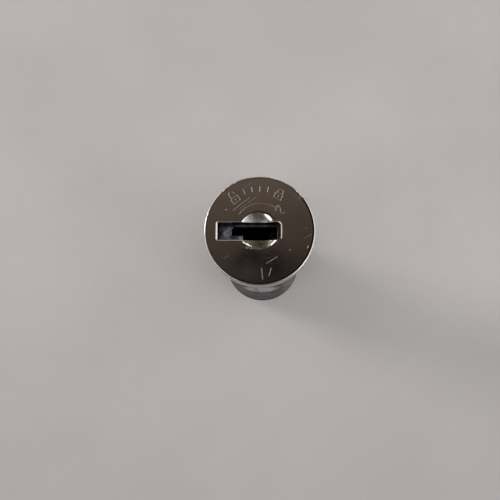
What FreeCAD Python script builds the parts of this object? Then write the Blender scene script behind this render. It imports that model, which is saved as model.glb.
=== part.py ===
import FreeCAD, Part
import math
import os

# Pin tumbler cam lock, millimetres.
# +Z points out of the lock's face, and the origin is on the lock's axis at the
# underside of the flange, which is the plane that seats on the panel.
# +X is the key's back edge side, -X is the side of the pins.
# Rest pose: key slot lies along X, cam points along +Y.
# Names ending in _Z0 and _Z1 are the rear and front of a part.

Vector = FreeCAD.Vector
os.makedirs("parts", exist_ok=True)

OVERRUN = 1.0            # how far a cutter runs past the surface it opens

# Housing
FLANGE_R = 22.0 / 2
FLANGE_T = 1.6
FLANGE_CHAMFER = 0.18
BARREL_R = 19.0 / 2      # 3/4 inch barrel
BARREL_L = 44.4          # 1 3/4 inch under the flange
BARREL_OVERLAP = 0.3     # barrel's reach into the flange
BARREL_CHAMFER = 0.45
FLAT_Y = 16.6 / 2        # from the axis to each of the two flats
FLAT_L = 22.2            # flats run 7/8 inch back from the flange
FLAT_RUNOUT = 0.92       # sloped run-out at the rear end of each flat
BORE_R = 6.40            # plug bore
BORE_END = -33.4
TAIL_BORE_R = 5.00
BOSS_R = 9.05            # counterbore in the flange that clears the keyway plate
BOSS_Z = 0.62
REAR_FACE = -43.2        # rear wall, behind it the limit washer
RING_POCKET_R = 7.1      # counterbore for the retaining ring
RING_POCKET_Z1 = -42.0
RECESS_R = 7.45          # recess for the limit washer

# Turning head and face cap
HEAD_R = 22.2 / 2        # 7/8 inch
HEAD_GAP = 0.15          # gap between flange and turning head
FACE_Z = 4.9             # front of the face cap
CAP_T = 0.8              # thickness of the cap's face
CAP_WALL = 0.85          # thickness of the cap's rim
CAP_EDGE_R = 0.32        # rounding of the cap's front edge
CAP_CHAMFER = 0.12       # on the rim's rear edge
HEAD_Z0 = FLANGE_T + HEAD_GAP
HEAD_Z1 = FACE_Z - CAP_T
WASHER_R = 10.4          # thrust washer in the gap

SLOT_X0, SLOT_X1 = -8.55, 3.65       # key slot in the cap
SLOT_Y0, SLOT_Y1 = -1.98, 1.66
SLOT_CLEARANCE = 0.03                # extra room in the head's slot
SLOT_EXTRA_X = 0.6                   # extra length of the head's slot on the +X side
STEP_X1 = 4.40                       # shallow step beside the slot
STEP_DEPTH = 0.45
DISH_X, DISH_Y = -0.28, -0.08        # dished circle that crosses the slot
DISH_R = 3.78
DISH_FLOOR_R = 1.75
DISH_DEPTH = 0.68
DISH_Z0 = FACE_Z - DISH_DEPTH
CORNER_DEPTH = 0.36                  # cut between the dish and the step

# Plug
CORE_R = 6.35
CORE_END = -33.0
CORE_CHAMFER = 0.25
TAIL_R = 4.95
TAIL_CHAMFER = 0.3
SHANK_X = 7.0 / 2        # from the axis to each flat on the shank
SHANK_CUT_HALF = 6       # half size of the cutters for the shank flats
SHANK_END = -46.25
SCREW_HOLE_R = 2.5
SCREW_HOLE_END = -38.5
DRILL_TIP_R = 0.4
DRILL_TIP_END = -37.2
KEYWAY_END = -31.5
GROOVE_R = 4.25          # groove for the retaining ring
GROOVE_Z0, GROOVE_Z1 = -42.98, -42.10
DRILL_PIN_R = 0.75
DRILL_HOLE_R = 0.76
DRILL_PIN_Z0 = -4.0
DRILL_PIN_PLACES = [(0.0, 4.95), (0.0, -4.95)]

# Keyway plate
PLATE_Z0, PLATE_Z1 = 0.72, 1.75
PLATE_X0, PLATE_X1 = -8.80, 5.20
PLATE_HALF_W = 3.05
PLATE_CLEARANCE = 0.02

# Pins, springs and the strip that covers their chambers
PIN_COUNT = 6
PIN_PITCH = 4.0
PIN_FIRST_Z = -8.0
PIN_Z = [PIN_FIRST_Z - PIN_PITCH * i for i in range(PIN_COUNT)]
PIN_R = 1.33
CHAMBER_R = 1.40
CHAMBER_BOTTOM_X = -3.85
PIN_DROP = [0.8, 1.3, 0.6, 1.1, 0.9, 1.2]   # how far each pin falls without a key
SEAT_GAP = 0.04          # play left under a key pin at the end of its drop
PIN_TAPER = 0.55
PIN_TIP_R = 0.62
PIN_DOME_GAP = 0.03      # from a key pin's domed end to the plug's surface
DRIVER_X1 = -6.42        # inner end of a driver pin at the shear line
DRIVER_X0 = DRIVER_X1 - 1.70
DRIVER_CHAMFER = 0.12
COVER_X1 = -BARREL_R + 0.5
COVER_HALF_W = 2.0
COVER_Z0, COVER_Z1 = -30.4, -5.6
COVER_CLEARANCE = 0.015
DIMPLE_R = 0.55
DIMPLE_X = -BARREL_R - 0.35
DIMPLE_INSET = 1.2       # outer dimples, from the strip's ends
DIMPLE_OFFSET = 6.2      # inner dimples, from the strip's middle
SPRING_R = 0.88
SPRING_WIRE = 0.22
SPRING_TURNS = 2.6
SPRING_GAP = 0.02        # at each end of a spring

# Retaining ring
RING_R0, RING_R1 = 4.28, 6.15
RING_Z0, RING_Z1 = -42.94, -42.14
RING_A0, RING_A1 = -62, 242          # ends of the ring, degrees
EAR_ANGLES = (-58, 238)
EAR_R = 1.05
EAR_CENTRE_R = 5.6
EAR_HOLE_R = 0.45
EAR_HOLE_CENTRE_R = 5.65
RING_TRIM_R = 6.9

# Limit washer, cam, lock washer and screw, stacked from the rear wall backwards
STACK_GAP = 0.01
TURN = 90.0              # clockwise from the front, from rest to locked
LUG_ANGLE = 90.0         # middle of the limit washer's lug at rest
LUG_HALF = 14.5          # half angle of the lug
LUG_R0, LUG_R1 = 5.0, 9.25
STOP_GAP = 0.5           # play at each end of the turn, degrees
LIMIT_R = 7.3
LIMIT_Z0, LIMIT_Z1 = REAR_FACE - 1.28, REAR_FACE - 0.05
CAM_T = 2.0
CAM_HALF_W = 14.0 / 2
CAM_REACH = 23.0
CAM_CORNER_R = 3.0
CAM_CHAMFER = 0.2
CAM_Z1 = LIMIT_Z0 - STACK_GAP
CAM_Z0 = CAM_Z1 - CAM_T
LOCK_R0, LOCK_R1 = 2.75, 4.6
LOCK_Z1 = CAM_Z0 - STACK_GAP
LOCK_Z0 = LOCK_Z1 - 0.6
NOTCH_COUNT = 10
NOTCH_R0, NOTCH_R1 = 2.4, 3.5
NOTCH_HALF_W = 0.38
SCREW_HEAD_R = 4.5
SCREW_HEAD_FILLET = 0.9
SCREW_HEAD_Z1 = LOCK_Z0 - STACK_GAP
SCREW_HEAD_Z0 = SCREW_HEAD_Z1 - 2.3
SCREW_R = 2.45
SCREW_OVERLAP = 0.1      # shank's reach into the head
SCREW_TIP_Z = -40.2
SCREW_TIP_CHAMFER = 0.4
CROSS_HALF_L = 2.3
CROSS_HALF_W = 0.42
CROSS_DEPTH = 1.3

# Outlines, all as (x, y)
# Keyway: thin wing for the cut edge of the key, thick rib, thin back
KEYWAY = [
    (-5.70, -0.47), (-3.40, -0.47), (-3.40, -1.95), (1.76, -1.95), (1.76, 0.10),
    (2.30, 0.10), (2.30, 0.35), (3.50, 0.35), (3.50, 1.25), (-5.70, 1.25),
]
PLATE_HOLE = [
    (-5.72, -0.47), (-3.41, -0.47), (-3.41, -2.05), (1.80, -2.05), (2.05, -1.70),
    (3.52, -1.70), (3.52, 1.25), (-5.30, 1.25), (-5.72, 0.80),
]
# Step beside the slot, with its corners taken off
STEP = [
    (3.20, SLOT_Y1 - 0.1), (3.22, SLOT_Y1), (3.48, 1.78), (3.98, 1.70), (STEP_X1, 1.22),
    (STEP_X1, -1.42), (STEP_X1 - 0.10, -1.58), (3.66, -1.84), (3.40, SLOT_Y0),
    (3.40, SLOT_Y0 + 0.1),
]
# Corner taken off between the dish and the step
CORNER = [(2.00, -3.26), (2.34, -3.12), (3.64, -1.84), (3.30, -1.45), (1.7, -2.2)]

# Engraving on the cap
ENGRAVE_Z0, ENGRAVE_Z1 = FACE_Z - 0.05, FACE_Z + 0.3
ENGRAVE_W = 0.20
ARROW_STEPS = 8
ARROW_A0 = 141           # start of the arrow's arc, degrees
ARROW_SWEEP = 84.5       # clockwise
ARROW_R = 5.28
ARROW_R_GROWTH = 0.28    # gained over the first half of the arc
ARROW_HEAD = [           # barb and hooked tip, (x, y)
    (3.14, 3.95), (3.33, 4.47), (3.60, 5.06), (3.93, 4.81), (4.18, 4.27),
    (4.14, 3.76), (4.48, 3.38), (4.84, 3.48), (4.93, 3.74),
]
INDEX_LINE = [(0.50, -7.62), (0.50, -9.85)]
TICK_ANGLES = (112, 101, 90, 79)
TICK_R0, TICK_R1 = 7.95, 8.95
PADLOCK_R = 8.35         # from the axis to a padlock's centre
PADLOCK_OPEN_ANGLE = 128
PADLOCK_CLOSED_ANGLE = 62
# Padlock's own frame: first value sideways, second outwards from the axis
PADLOCK_TOP = 0.12
PADLOCK_BODY = [(-0.78, -1.05), (0.78, -1.05), (0.78, PADLOCK_TOP), (-0.78, PADLOCK_TOP)]
PADLOCK_KEYHOLE = [(0, -0.62), (0, -0.32)]
SHACKLE_R = 0.52
SHACKLE_CENTRE = 0.55
SHACKLE_LIFT = 0.42      # of an open shackle
SHACKLE_OPENING = 0.55   # gap under the free leg of an open shackle


# Helpers
def cylinder(radius, z0, z1, x=0.0, y=0.0):
    return Part.makeCylinder(radius, z1 - z0, Vector(x, y, z0), Vector(0, 0, 1))


def x_cylinder(radius, x0, x1, z):
    return Part.makeCylinder(radius, x1 - x0, Vector(x0, 0, z), Vector(1, 0, 0))


def cone(radius0, radius1, z0, z1, x=0.0, y=0.0):
    return Part.makeCone(radius0, radius1, z1 - z0, Vector(x, y, z0), Vector(0, 0, 1))


def box(x0, x1, y0, y1, z0, z1):
    return Part.makeBox(x1 - x0, y1 - y0, z1 - z0, Vector(x0, y0, z0))


def closed_wire(corners):
    return Part.makePolygon(corners + corners[:1])


def prism(outline, z0, z1):
    wire = closed_wire([Vector(x, y, z0) for x, y in outline])
    return Part.Face(wire).extrude(Vector(0, 0, z1 - z0))


def ring_sector(radius0, radius1, angle0, angle1, z0, z1):
    """Sector of a ring between two angles in degrees."""
    sector = Part.makeCylinder(
        radius1, z1 - z0, Vector(0, 0, z0), Vector(0, 0, 1), angle1 - angle0)
    sector.rotate(Vector(0, 0, 0), Vector(0, 0, 1), angle0)
    if radius0 > 0:
        sector = sector.cut(cylinder(radius0, z0 - OVERRUN, z1 + OVERRUN))
    return sector


def polar(radius, degrees):
    angle = math.radians(degrees)
    return (radius * math.cos(angle), radius * math.sin(angle))


def circles(shape):
    return [e for e in shape.Edges if e.Curve.TypeId == "Part::GeomCircle"]


def circles_at(shape, radius, z, tolerance=0.02):
    return [
        e for e in circles(shape)
        if abs(e.Curve.Radius - radius) < tolerance
        and abs(e.BoundBox.ZMin - z) < tolerance
        and abs(e.BoundBox.ZMax - z) < tolerance
    ]


def save(name, shape):
    shape = shape.removeSplitter()
    if len(shape.Solids) == 1:
        shape = shape.Solids[0]
    else:
        shape = Part.makeCompound(shape.Solids)
    if not shape.isValid():
        shape.fix(0.001, 0.001, 0.01)
    shape.exportStep("parts/%s.step" % name)


def flat_cutter(side):
    """Cutter for the barrel flat on the +Y (side 1) or -Y (side -1) side."""
    slope = FLAT_RUNOUT / (BARREL_R - FLAT_Y)
    outer = BARREL_R + OVERRUN
    profile = [
        (FLAT_Y, OVERRUN), (FLAT_Y, -FLAT_L + FLAT_RUNOUT),
        (outer, -FLAT_L - slope * OVERRUN), (outer, OVERRUN),
    ]
    wire = closed_wire([Vector(-outer, side * y, z) for y, z in profile])
    return Part.Face(wire).extrude(Vector(2 * outer, 0, 0))


def make_housing():
    body = cylinder(BARREL_R, -BARREL_L, BARREL_OVERLAP)
    for side in (-1, 1):
        body = body.cut(flat_cutter(side))
    body = body.makeChamfer(BARREL_CHAMFER, circles_at(body, BARREL_R, -BARREL_L))
    flange = cylinder(FLANGE_R, 0, FLANGE_T)
    flange = flange.makeChamfer(FLANGE_CHAMFER, circles(flange))
    body = body.fuse(flange)
    # plug bore, counterbore under the head, rear bore and retaining ring pocket
    rear = -BARREL_L - OVERRUN
    body = body.cut(cylinder(BORE_R, BORE_END, FLANGE_T + OVERRUN))
    body = body.cut(cylinder(BOSS_R, BOSS_Z, FLANGE_T + OVERRUN))
    body = body.cut(cylinder(TAIL_BORE_R, rear, 0))
    body = body.cut(cylinder(RING_POCKET_R, REAR_FACE - 0.001, RING_POCKET_Z1))
    # the limit washer's recess leaves a stop rib on the -X and -Y sides
    body = body.cut(cylinder(RECESS_R, rear, REAR_FACE))
    body = body.cut(ring_sector(
        0, BARREL_R + OVERRUN, LUG_ANGLE - TURN - LUG_HALF - STOP_GAP,
        LUG_ANGLE + LUG_HALF + STOP_GAP, rear, REAR_FACE))
    # groove for the cover strip, then the pin chambers
    outside = -BARREL_R - OVERRUN
    body = body.cut(box(outside, COVER_X1, -COVER_HALF_W, COVER_HALF_W, COVER_Z0, COVER_Z1))
    for z in PIN_Z:
        body = body.cut(x_cylinder(CHAMBER_R, outside, -BORE_R + 0.6, z))
    return body


def make_chamber_cover():
    half_w = COVER_HALF_W - COVER_CLEARANCE
    cover = box(-BARREL_R - 0.5, COVER_X1, -half_w, half_w,
                COVER_Z0 + COVER_CLEARANCE, COVER_Z1 - COVER_CLEARANCE)
    cover = cover.common(cylinder(BARREL_R, COVER_Z0 - OVERRUN, COVER_Z1 + OVERRUN))
    # four dimples along the outer face
    middle = (COVER_Z0 + COVER_Z1) / 2
    for z in (COVER_Z0 + DIMPLE_INSET, middle - DIMPLE_OFFSET,
              middle + DIMPLE_OFFSET, COVER_Z1 - DIMPLE_INSET):
        cover = cover.cut(Part.makeSphere(DIMPLE_R, Vector(DIMPLE_X, 0, z)))
    return cover


def make_thrust_washer():
    return cylinder(WASHER_R, FLANGE_T, HEAD_Z0).cut(cylinder(BOSS_R + 0.05, 0, 5))


def make_plug():
    head_r = HEAD_R - CAP_WALL - 0.02
    profile = [  # (radius, z)
        (0, SHANK_END), (TAIL_R, SHANK_END), (TAIL_R, CORE_END),
        (CORE_R - CORE_CHAMFER, CORE_END), (CORE_R, CORE_END + CORE_CHAMFER),
        (CORE_R, HEAD_Z0), (head_r, HEAD_Z0), (head_r, HEAD_Z1), (0, HEAD_Z1),
    ]
    wire = closed_wire([Vector(radius, 0, z) for radius, z in profile])
    plug = Part.Face(wire).revolve(Vector(0, 0, 0), Vector(0, 0, 1), 360)
    # shank flats, from the housing's rear wall to the end
    rear = SHANK_END - OVERRUN
    half = SHANK_CUT_HALF
    for x0, x1 in ((-half, -SHANK_X), (SHANK_X, half)):
        plug = plug.cut(box(x0, x1, -half, half, rear, REAR_FACE))
    # cam screw's hole with its drill point
    plug = plug.cut(cylinder(SCREW_HOLE_R, rear, SCREW_HOLE_END))
    plug = plug.cut(cone(SCREW_HOLE_R, DRILL_TIP_R, SCREW_HOLE_END, DRILL_TIP_END))
    plug = plug.makeChamfer(TAIL_CHAMFER, circles_at(plug, TAIL_R, SHANK_END))
    # groove for the retaining ring
    groove = cylinder(TAIL_R + OVERRUN, GROOVE_Z0, GROOVE_Z1)
    plug = plug.cut(groove.cut(cylinder(GROOVE_R, -43.5, -41.5)))
    # pocket for the keyway plate, open to the pin side
    half_w = PLATE_HALF_W + PLATE_CLEARANCE
    plug = plug.cut(box(-CORE_R - OVERRUN, PLATE_X1 + PLATE_CLEARANCE, -half_w, half_w,
                        PLATE_Z0 - PLATE_CLEARANCE, PLATE_Z1))
    # slot through the head, in line with the slot in the cap
    plug = plug.cut(box(SLOT_X0 - SLOT_CLEARANCE, SLOT_X1 + SLOT_EXTRA_X,
                        SLOT_Y0 - SLOT_CLEARANCE, SLOT_Y1 + SLOT_CLEARANCE,
                        PLATE_Z1 - 0.001, FACE_Z))
    plug = plug.cut(prism(KEYWAY, KEYWAY_END, PLATE_Z0 + 0.5))
    for z in PIN_Z:
        plug = plug.cut(x_cylinder(CHAMBER_R, -CORE_R - OVERRUN, CHAMBER_BOTTOM_X, z))
    for x, y in DRILL_PIN_PLACES:
        plug = plug.cut(cylinder(DRILL_HOLE_R, DRILL_PIN_Z0, HEAD_Z1 + OVERRUN, x, y))
    return plug


def make_keyway_plate():
    plate = box(PLATE_X0, PLATE_X1, -PLATE_HALF_W, PLATE_HALF_W, PLATE_Z0, PLATE_Z1)
    plate = plate.common(cylinder(BOSS_R - 0.06, 0, 5))
    return plate.cut(prism(PLATE_HOLE, 0, 3))


def make_drill_pins():
    """Two hardened pins in the front of the plug."""
    return Part.makeCompound([
        cylinder(DRILL_PIN_R, DRILL_PIN_Z0, HEAD_Z1 - 0.02, x, y) for x, y in DRILL_PIN_PLACES])


def stroke(start, end):
    """Straight engraved stroke with round ends."""
    dx, dy = end[0] - start[0], end[1] - start[1]
    length = math.hypot(dx, dy)
    half = ENGRAVE_W / 2
    side_x, side_y = -dy / length * half, dx / length * half
    bar = prism([
        (start[0] + side_x, start[1] + side_y), (start[0] - side_x, start[1] - side_y),
        (end[0] - side_x, end[1] - side_y), (end[0] + side_x, end[1] + side_y),
    ], ENGRAVE_Z0, ENGRAVE_Z1)
    return bar.fuse([cylinder(half, ENGRAVE_Z0, ENGRAVE_Z1, *p) for p in (start, end)])


def strokes(points):
    return [stroke(start, end) for start, end in zip(points, points[1:])]


def padlock(degrees, opened):
    """Small padlock outline, its shackle pointing outwards."""
    centre_x, centre_y = polar(PADLOCK_R, degrees)
    cos, sin = polar(1, degrees - 90)
    shoulder = SHACKLE_CENTRE + (SHACKLE_LIFT if opened else 0.0)
    free_end = PADLOCK_TOP + (SHACKLE_OPENING if opened else 0.0)
    bow = [polar(SHACKLE_R, angle) for angle in range(0, 181, 45)]
    lines = [
        PADLOCK_BODY + PADLOCK_BODY[:1],
        [(x, shoulder + y) for x, y in bow],
        [(-SHACKLE_R, PADLOCK_TOP), (-SHACKLE_R, shoulder)],
        [(SHACKLE_R, free_end), (SHACKLE_R, shoulder)],
        PADLOCK_KEYHOLE,
    ]
    marks = []
    for line in lines:
        marks += strokes([
            (centre_x + x * cos - y * sin, centre_y + x * sin + y * cos) for x, y in line])
    return marks


def engraving():
    """Turning arrow, index line, open and closed padlock, travel ticks."""
    arc = [
        polar(ARROW_R + ARROW_R_GROWTH * min(1.0, 2 * k / ARROW_STEPS),
              ARROW_A0 - ARROW_SWEEP * k / ARROW_STEPS)
        for k in range(ARROW_STEPS + 1)
    ]
    marks = strokes(arc) + strokes(ARROW_HEAD) + strokes(INDEX_LINE)
    marks += padlock(PADLOCK_OPEN_ANGLE, True)
    marks += padlock(PADLOCK_CLOSED_ANGLE, False)
    for angle in TICK_ANGLES:
        marks.append(stroke(polar(TICK_R0, angle), polar(TICK_R1, angle)))
    return marks


def make_face_cap():
    cap = cylinder(HEAD_R, HEAD_Z0, FACE_Z)
    cap = cap.makeFillet(CAP_EDGE_R, circles_at(cap, HEAD_R, FACE_Z))
    cap = cap.makeChamfer(CAP_CHAMFER, circles_at(cap, HEAD_R, HEAD_Z0))
    cap = cap.cut(cylinder(HEAD_R - CAP_WALL, HEAD_Z0 - OVERRUN, HEAD_Z1))
    cap = cap.cut(box(SLOT_X0, SLOT_X1, SLOT_Y0, SLOT_Y1, 0, 9))
    cap = cap.cut(prism(STEP, FACE_Z - STEP_DEPTH, FACE_Z + OVERRUN))
    # dished circle, open at its floor
    cap = cap.cut(cone(DISH_FLOOR_R, DISH_R, DISH_Z0, FACE_Z, DISH_X, DISH_Y))
    cap = cap.cut(cylinder(DISH_FLOOR_R, 0, DISH_Z0 + 0.001, DISH_X, DISH_Y))
    cap = cap.cut(prism(CORNER, FACE_Z - CORNER_DEPTH, FACE_Z + OVERRUN))
    for mark in engraving():
        cap = cap.cut(mark)
    return cap


def make_retaining_ring():
    """Open ring with a drilled ear at each end, its gap towards -Y."""
    ring = ring_sector(RING_R0, RING_R1, RING_A0, RING_A1, RING_Z0, RING_Z1)
    ring = ring.fuse([
        cylinder(EAR_R, RING_Z0, RING_Z1, *polar(EAR_CENTRE_R, a)) for a in EAR_ANGLES])
    ring = ring.cut(cylinder(RING_R0, -44, -41))
    for angle in EAR_ANGLES:
        ring = ring.cut(cylinder(EAR_HOLE_R, -44, -41, *polar(EAR_HOLE_CENTRE_R, angle)))
    return ring.common(cylinder(RING_TRIM_R, -44, -41))


def shank_hole(clearance):
    """Cutter with two flats that fits the plug's shank."""
    half_w = SHANK_X + clearance
    return cylinder(TAIL_R + clearance, -60, -30).common(box(-half_w, half_w, -9, 9, -61, -29))


def make_limit_washer():
    washer = cylinder(LIMIT_R, LIMIT_Z0, LIMIT_Z1)
    washer = washer.fuse(ring_sector(
        LUG_R0, LUG_R1, LUG_ANGLE - LUG_HALF, LUG_ANGLE + LUG_HALF, LIMIT_Z0, LIMIT_Z1))
    return washer.cut(shank_hole(0.03))


def make_cam():
    corner_x = CAM_HALF_W - CAM_CORNER_R
    corner_y = CAM_REACH - CAM_CORNER_R
    cam = cylinder(CAM_HALF_W, CAM_Z0, CAM_Z1)
    cam = cam.fuse(box(-CAM_HALF_W, CAM_HALF_W, 0, corner_y, CAM_Z0, CAM_Z1))
    cam = cam.fuse(box(-corner_x, corner_x, 0, CAM_REACH, CAM_Z0, CAM_Z1))
    cam = cam.fuse([
        cylinder(CAM_CORNER_R, CAM_Z0, CAM_Z1, x, corner_y) for x in (-corner_x, corner_x)])
    cam = cam.removeSplitter()
    cam = cam.makeChamfer(CAM_CHAMFER, [e for e in cam.Edges if e.BoundBox.ZLength < 0.01])
    return cam.cut(shank_hole(0.04))


def make_cam_lock_washer():
    """Washer with notches round its hole."""
    z0, z1 = LOCK_Z0 - OVERRUN, LOCK_Z1 + OVERRUN
    washer = cylinder(LOCK_R1, LOCK_Z0, LOCK_Z1).cut(cylinder(LOCK_R0, z0, z1))
    for i in range(NOTCH_COUNT):
        notch = box(NOTCH_R0, NOTCH_R1, -NOTCH_HALF_W, NOTCH_HALF_W, z0, z1)
        notch.rotate(Vector(0, 0, 0), Vector(0, 0, 1), 360 / NOTCH_COUNT * i)
        washer = washer.cut(notch)
    return washer


def make_cam_screw():
    head = cylinder(SCREW_HEAD_R, SCREW_HEAD_Z0, SCREW_HEAD_Z1)
    head = head.makeFillet(SCREW_HEAD_FILLET, circles_at(head, SCREW_HEAD_R, SCREW_HEAD_Z0))
    screw = head.fuse(cylinder(SCREW_R, SCREW_HEAD_Z1 - SCREW_OVERLAP, SCREW_TIP_Z))
    screw = screw.makeChamfer(SCREW_TIP_CHAMFER, circles_at(screw, SCREW_R, SCREW_TIP_Z))
    # cross recess
    for x, y in ((CROSS_HALF_L, CROSS_HALF_W), (CROSS_HALF_W, CROSS_HALF_L)):
        screw = screw.cut(box(
            -x, x, -y, y, SCREW_HEAD_Z0 - OVERRUN, SCREW_HEAD_Z0 + CROSS_DEPTH))
    return screw


def make_key_pin(z, drop):
    """Pin lifted to the shear line: domed outer end, tapered tip."""
    taper_x = CHAMBER_BOTTOM_X - drop - SEAT_GAP - PIN_TAPER
    body = x_cylinder(PIN_R, -CORE_R - OVERRUN, taper_x, z)
    nose = Part.makeCone(PIN_R, PIN_TIP_R, PIN_TAPER, Vector(taper_x, 0, z), Vector(1, 0, 0))
    dome = Part.makeSphere(CORE_R - PIN_DOME_GAP, Vector(0, 0, z))
    return body.fuse(nose).removeSplitter().common(dome)


def make_driver_pin(z):
    pin = x_cylinder(PIN_R, DRIVER_X0 + 0.001, DRIVER_X1, z)
    return pin.makeChamfer(DRIVER_CHAMFER, circles(pin))


def make_pin_spring(z):
    """Spring between the cover strip and a driver pin at the shear line."""
    wire_r = SPRING_WIRE / 2
    rise = DRIVER_X0 - COVER_X1 - SPRING_WIRE - 2 * SPRING_GAP
    helix = Part.makeHelix(rise / SPRING_TURNS, rise, SPRING_R)
    section = []
    for angle in range(0, 360, 36):
        x, height = polar(wire_r, angle)
        section.append(Vector(SPRING_R + x, 0, height))
    spring = Part.Wire(helix).makePipeShell([closed_wire(section)], True, True)
    spring.rotate(Vector(0, 0, 0), Vector(0, 1, 0), 90)
    spring.translate(Vector(COVER_X1 + wire_r + SPRING_GAP, 0, z))
    return spring


save("housing", make_housing())
save("chamber_cover", make_chamber_cover())
save("thrust_washer", make_thrust_washer())
save("plug", make_plug())
save("keyway_plate", make_keyway_plate())
save("drill_pins", make_drill_pins())
save("face_cap", make_face_cap())
save("retaining_ring", make_retaining_ring())
save("limit_washer", make_limit_washer())
save("cam", make_cam())
save("cam_lock_washer", make_cam_lock_washer())
save("cam_screw", make_cam_screw())
for n, (z, drop) in enumerate(zip(PIN_Z, PIN_DROP), 1):
    save("key_pin_%d" % n, make_key_pin(z, drop))
    save("driver_pin_%d" % n, make_driver_pin(z))
    save("pin_spring_%d" % n, make_pin_spring(z))
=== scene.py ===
"""Cylinder cam lock standing on its cam screw, key face up.

The lock's axis is Z. The long side of the key opening lies along X, the strip over the pin
chambers is on the -X side, and the cam and the stop washer's lug point to +Y.
Shapes are in millimetres; materials, lights and camera are in metres.
"""
import math
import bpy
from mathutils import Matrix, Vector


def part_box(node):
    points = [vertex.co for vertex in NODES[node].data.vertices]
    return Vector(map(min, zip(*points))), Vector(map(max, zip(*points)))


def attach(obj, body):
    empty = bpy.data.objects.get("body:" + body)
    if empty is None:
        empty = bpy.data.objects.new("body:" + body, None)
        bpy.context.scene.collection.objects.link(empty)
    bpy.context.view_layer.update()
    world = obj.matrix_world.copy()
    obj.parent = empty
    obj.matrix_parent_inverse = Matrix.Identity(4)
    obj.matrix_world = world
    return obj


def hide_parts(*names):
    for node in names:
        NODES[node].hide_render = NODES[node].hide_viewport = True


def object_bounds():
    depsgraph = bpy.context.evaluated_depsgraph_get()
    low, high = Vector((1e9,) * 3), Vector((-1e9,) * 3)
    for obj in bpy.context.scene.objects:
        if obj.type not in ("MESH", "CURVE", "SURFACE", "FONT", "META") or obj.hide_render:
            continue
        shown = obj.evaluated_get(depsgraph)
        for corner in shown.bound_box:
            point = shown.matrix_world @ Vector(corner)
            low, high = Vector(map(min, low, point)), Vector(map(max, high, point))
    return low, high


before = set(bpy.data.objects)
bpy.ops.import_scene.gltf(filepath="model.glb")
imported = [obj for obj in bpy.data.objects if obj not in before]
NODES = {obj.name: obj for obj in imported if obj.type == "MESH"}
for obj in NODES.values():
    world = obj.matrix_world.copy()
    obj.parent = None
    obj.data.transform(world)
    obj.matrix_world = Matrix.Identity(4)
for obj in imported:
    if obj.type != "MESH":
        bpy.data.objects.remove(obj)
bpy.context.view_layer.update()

from types import SimpleNamespace

import bmesh
import bpy
import numpy as np
from mathutils import Matrix, Vector, geometry

MM = 0.001


# --------------------------------------------------------------- dimensions
def mm_box(node):
    """Low and high corner of a frame piece, in millimetres."""
    low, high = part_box(node)
    return [c / MM for c in low], [c / MM for c in high]


CAP_LO, CAP_HI = mm_box("face_cap")
HOUSING_LO, HOUSING_HI = mm_box("housing")
PLATE_LO, PLATE_HI = mm_box("keyway_plate")
COVER_LO, COVER_HI = mm_box("chamber_cover")
CAM_LO, CAM_HI = mm_box("cam")
LIMIT_LO, LIMIT_HI = mm_box("limit_washer")
SCREW_LO, SCREW_HI = mm_box("cam_screw")

# Face cap
FACE_Z = CAP_HI[2]
HEAD_BOTTOM = CAP_LO[2]
HEAD_R = (CAP_HI[0] - CAP_LO[0]) / 2
EDGE_R = 0.32                       # rounding between face and side
FACE_R = HEAD_R - EDGE_R
CAP_THICK = 0.8
CAP_WALL = 0.85
SLOT_LEFT, SLOT_RIGHT = -8.55, 3.65
SLOT_LOW, SLOT_HIGH = -1.98, 1.66
SLOT_MID = (SLOT_LOW + SLOT_HIGH) / 2
LIP_X = SLOT_LEFT + 0.15            # left end of the opening, inside the rolled lip
STEP_X = 4.40 - 0.04                # right end of the sunken step beside the slot
STEP_DEPTH = 0.45
DISH_X, DISH_Y = -0.28, -0.08
DISH_R, DISH_FLOOR_R, DISH_DEPTH = 3.78, 1.75, 0.68

# Barrel
FLANGE_R = (HOUSING_HI[0] - HOUSING_LO[0]) / 2
FLANGE_Z = HOUSING_HI[2]
BARREL_R = 9.5
RIB_END = HOUSING_LO[2]
BARREL_END = -43.2
RIB = (105.0, 345.0)                # sector of the longer rib at the lower end, degrees
FLAT = 8.3                          # distance of each flat from the axis
FLAT_END = -22.2
FLAT_BLEND = 0.035                  # softness of the corner where flat meets round
GROOVE_HALF, GROOVE_DEPTH = 2.0, 0.5
RIPPLE = 0.010                      # unevenness of the barrel surface
SEAT_R, SEAT_Z = 9.05, 0.62
BORE_R, BORE_END = 6.40, -33.4
NECK_R, NECK_END = 5.00, -42.0
CHAMBER_R = 1.40


# ----------------------------------------------------------- outline helpers
def polar(r, degrees):
    a = math.radians(degrees)
    return (r * math.cos(a), r * math.sin(a))


def circle(r, count, x=0.0, y=0.0, start=0.0):
    angles = [2 * math.pi * i / count + start for i in range(count)]
    return [(x + r * math.cos(a), y + r * math.sin(a)) for a in angles]


def rounded(corners, steps=4):
    """Closed outline from (x, y, corner radius) entries."""
    out = []
    count = len(corners)
    for i, (x, y, radius) in enumerate(corners):
        before, here, after = (np.array(corners[(i + k) % count][:2], float) for k in (-1, 0, 1))
        a, b = before - here, after - here
        len_a, len_b = np.linalg.norm(a), np.linalg.norm(b)
        a, b = a / len_a, b / len_b
        half = math.acos(max(-1, min(1, float(a @ b)))) / 2
        cut = min(radius / math.tan(half), 0.48 * len_a, 0.48 * len_b)
        r = cut * math.tan(half)
        centre = here + (a + b) / np.linalg.norm(a + b) * (r / math.sin(half))
        start, end = here + a * cut - centre, here + b * cut - centre
        a0, a1 = math.atan2(start[1], start[0]), math.atan2(end[1], end[0])
        sweep = (a1 - a0 + math.pi) % (2 * math.pi) - math.pi
        for k in range(steps + 1):
            w = a0 + sweep * k / steps
            out.append((centre[0] + r * math.cos(w), centre[1] + r * math.sin(w)))
    return out


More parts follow.
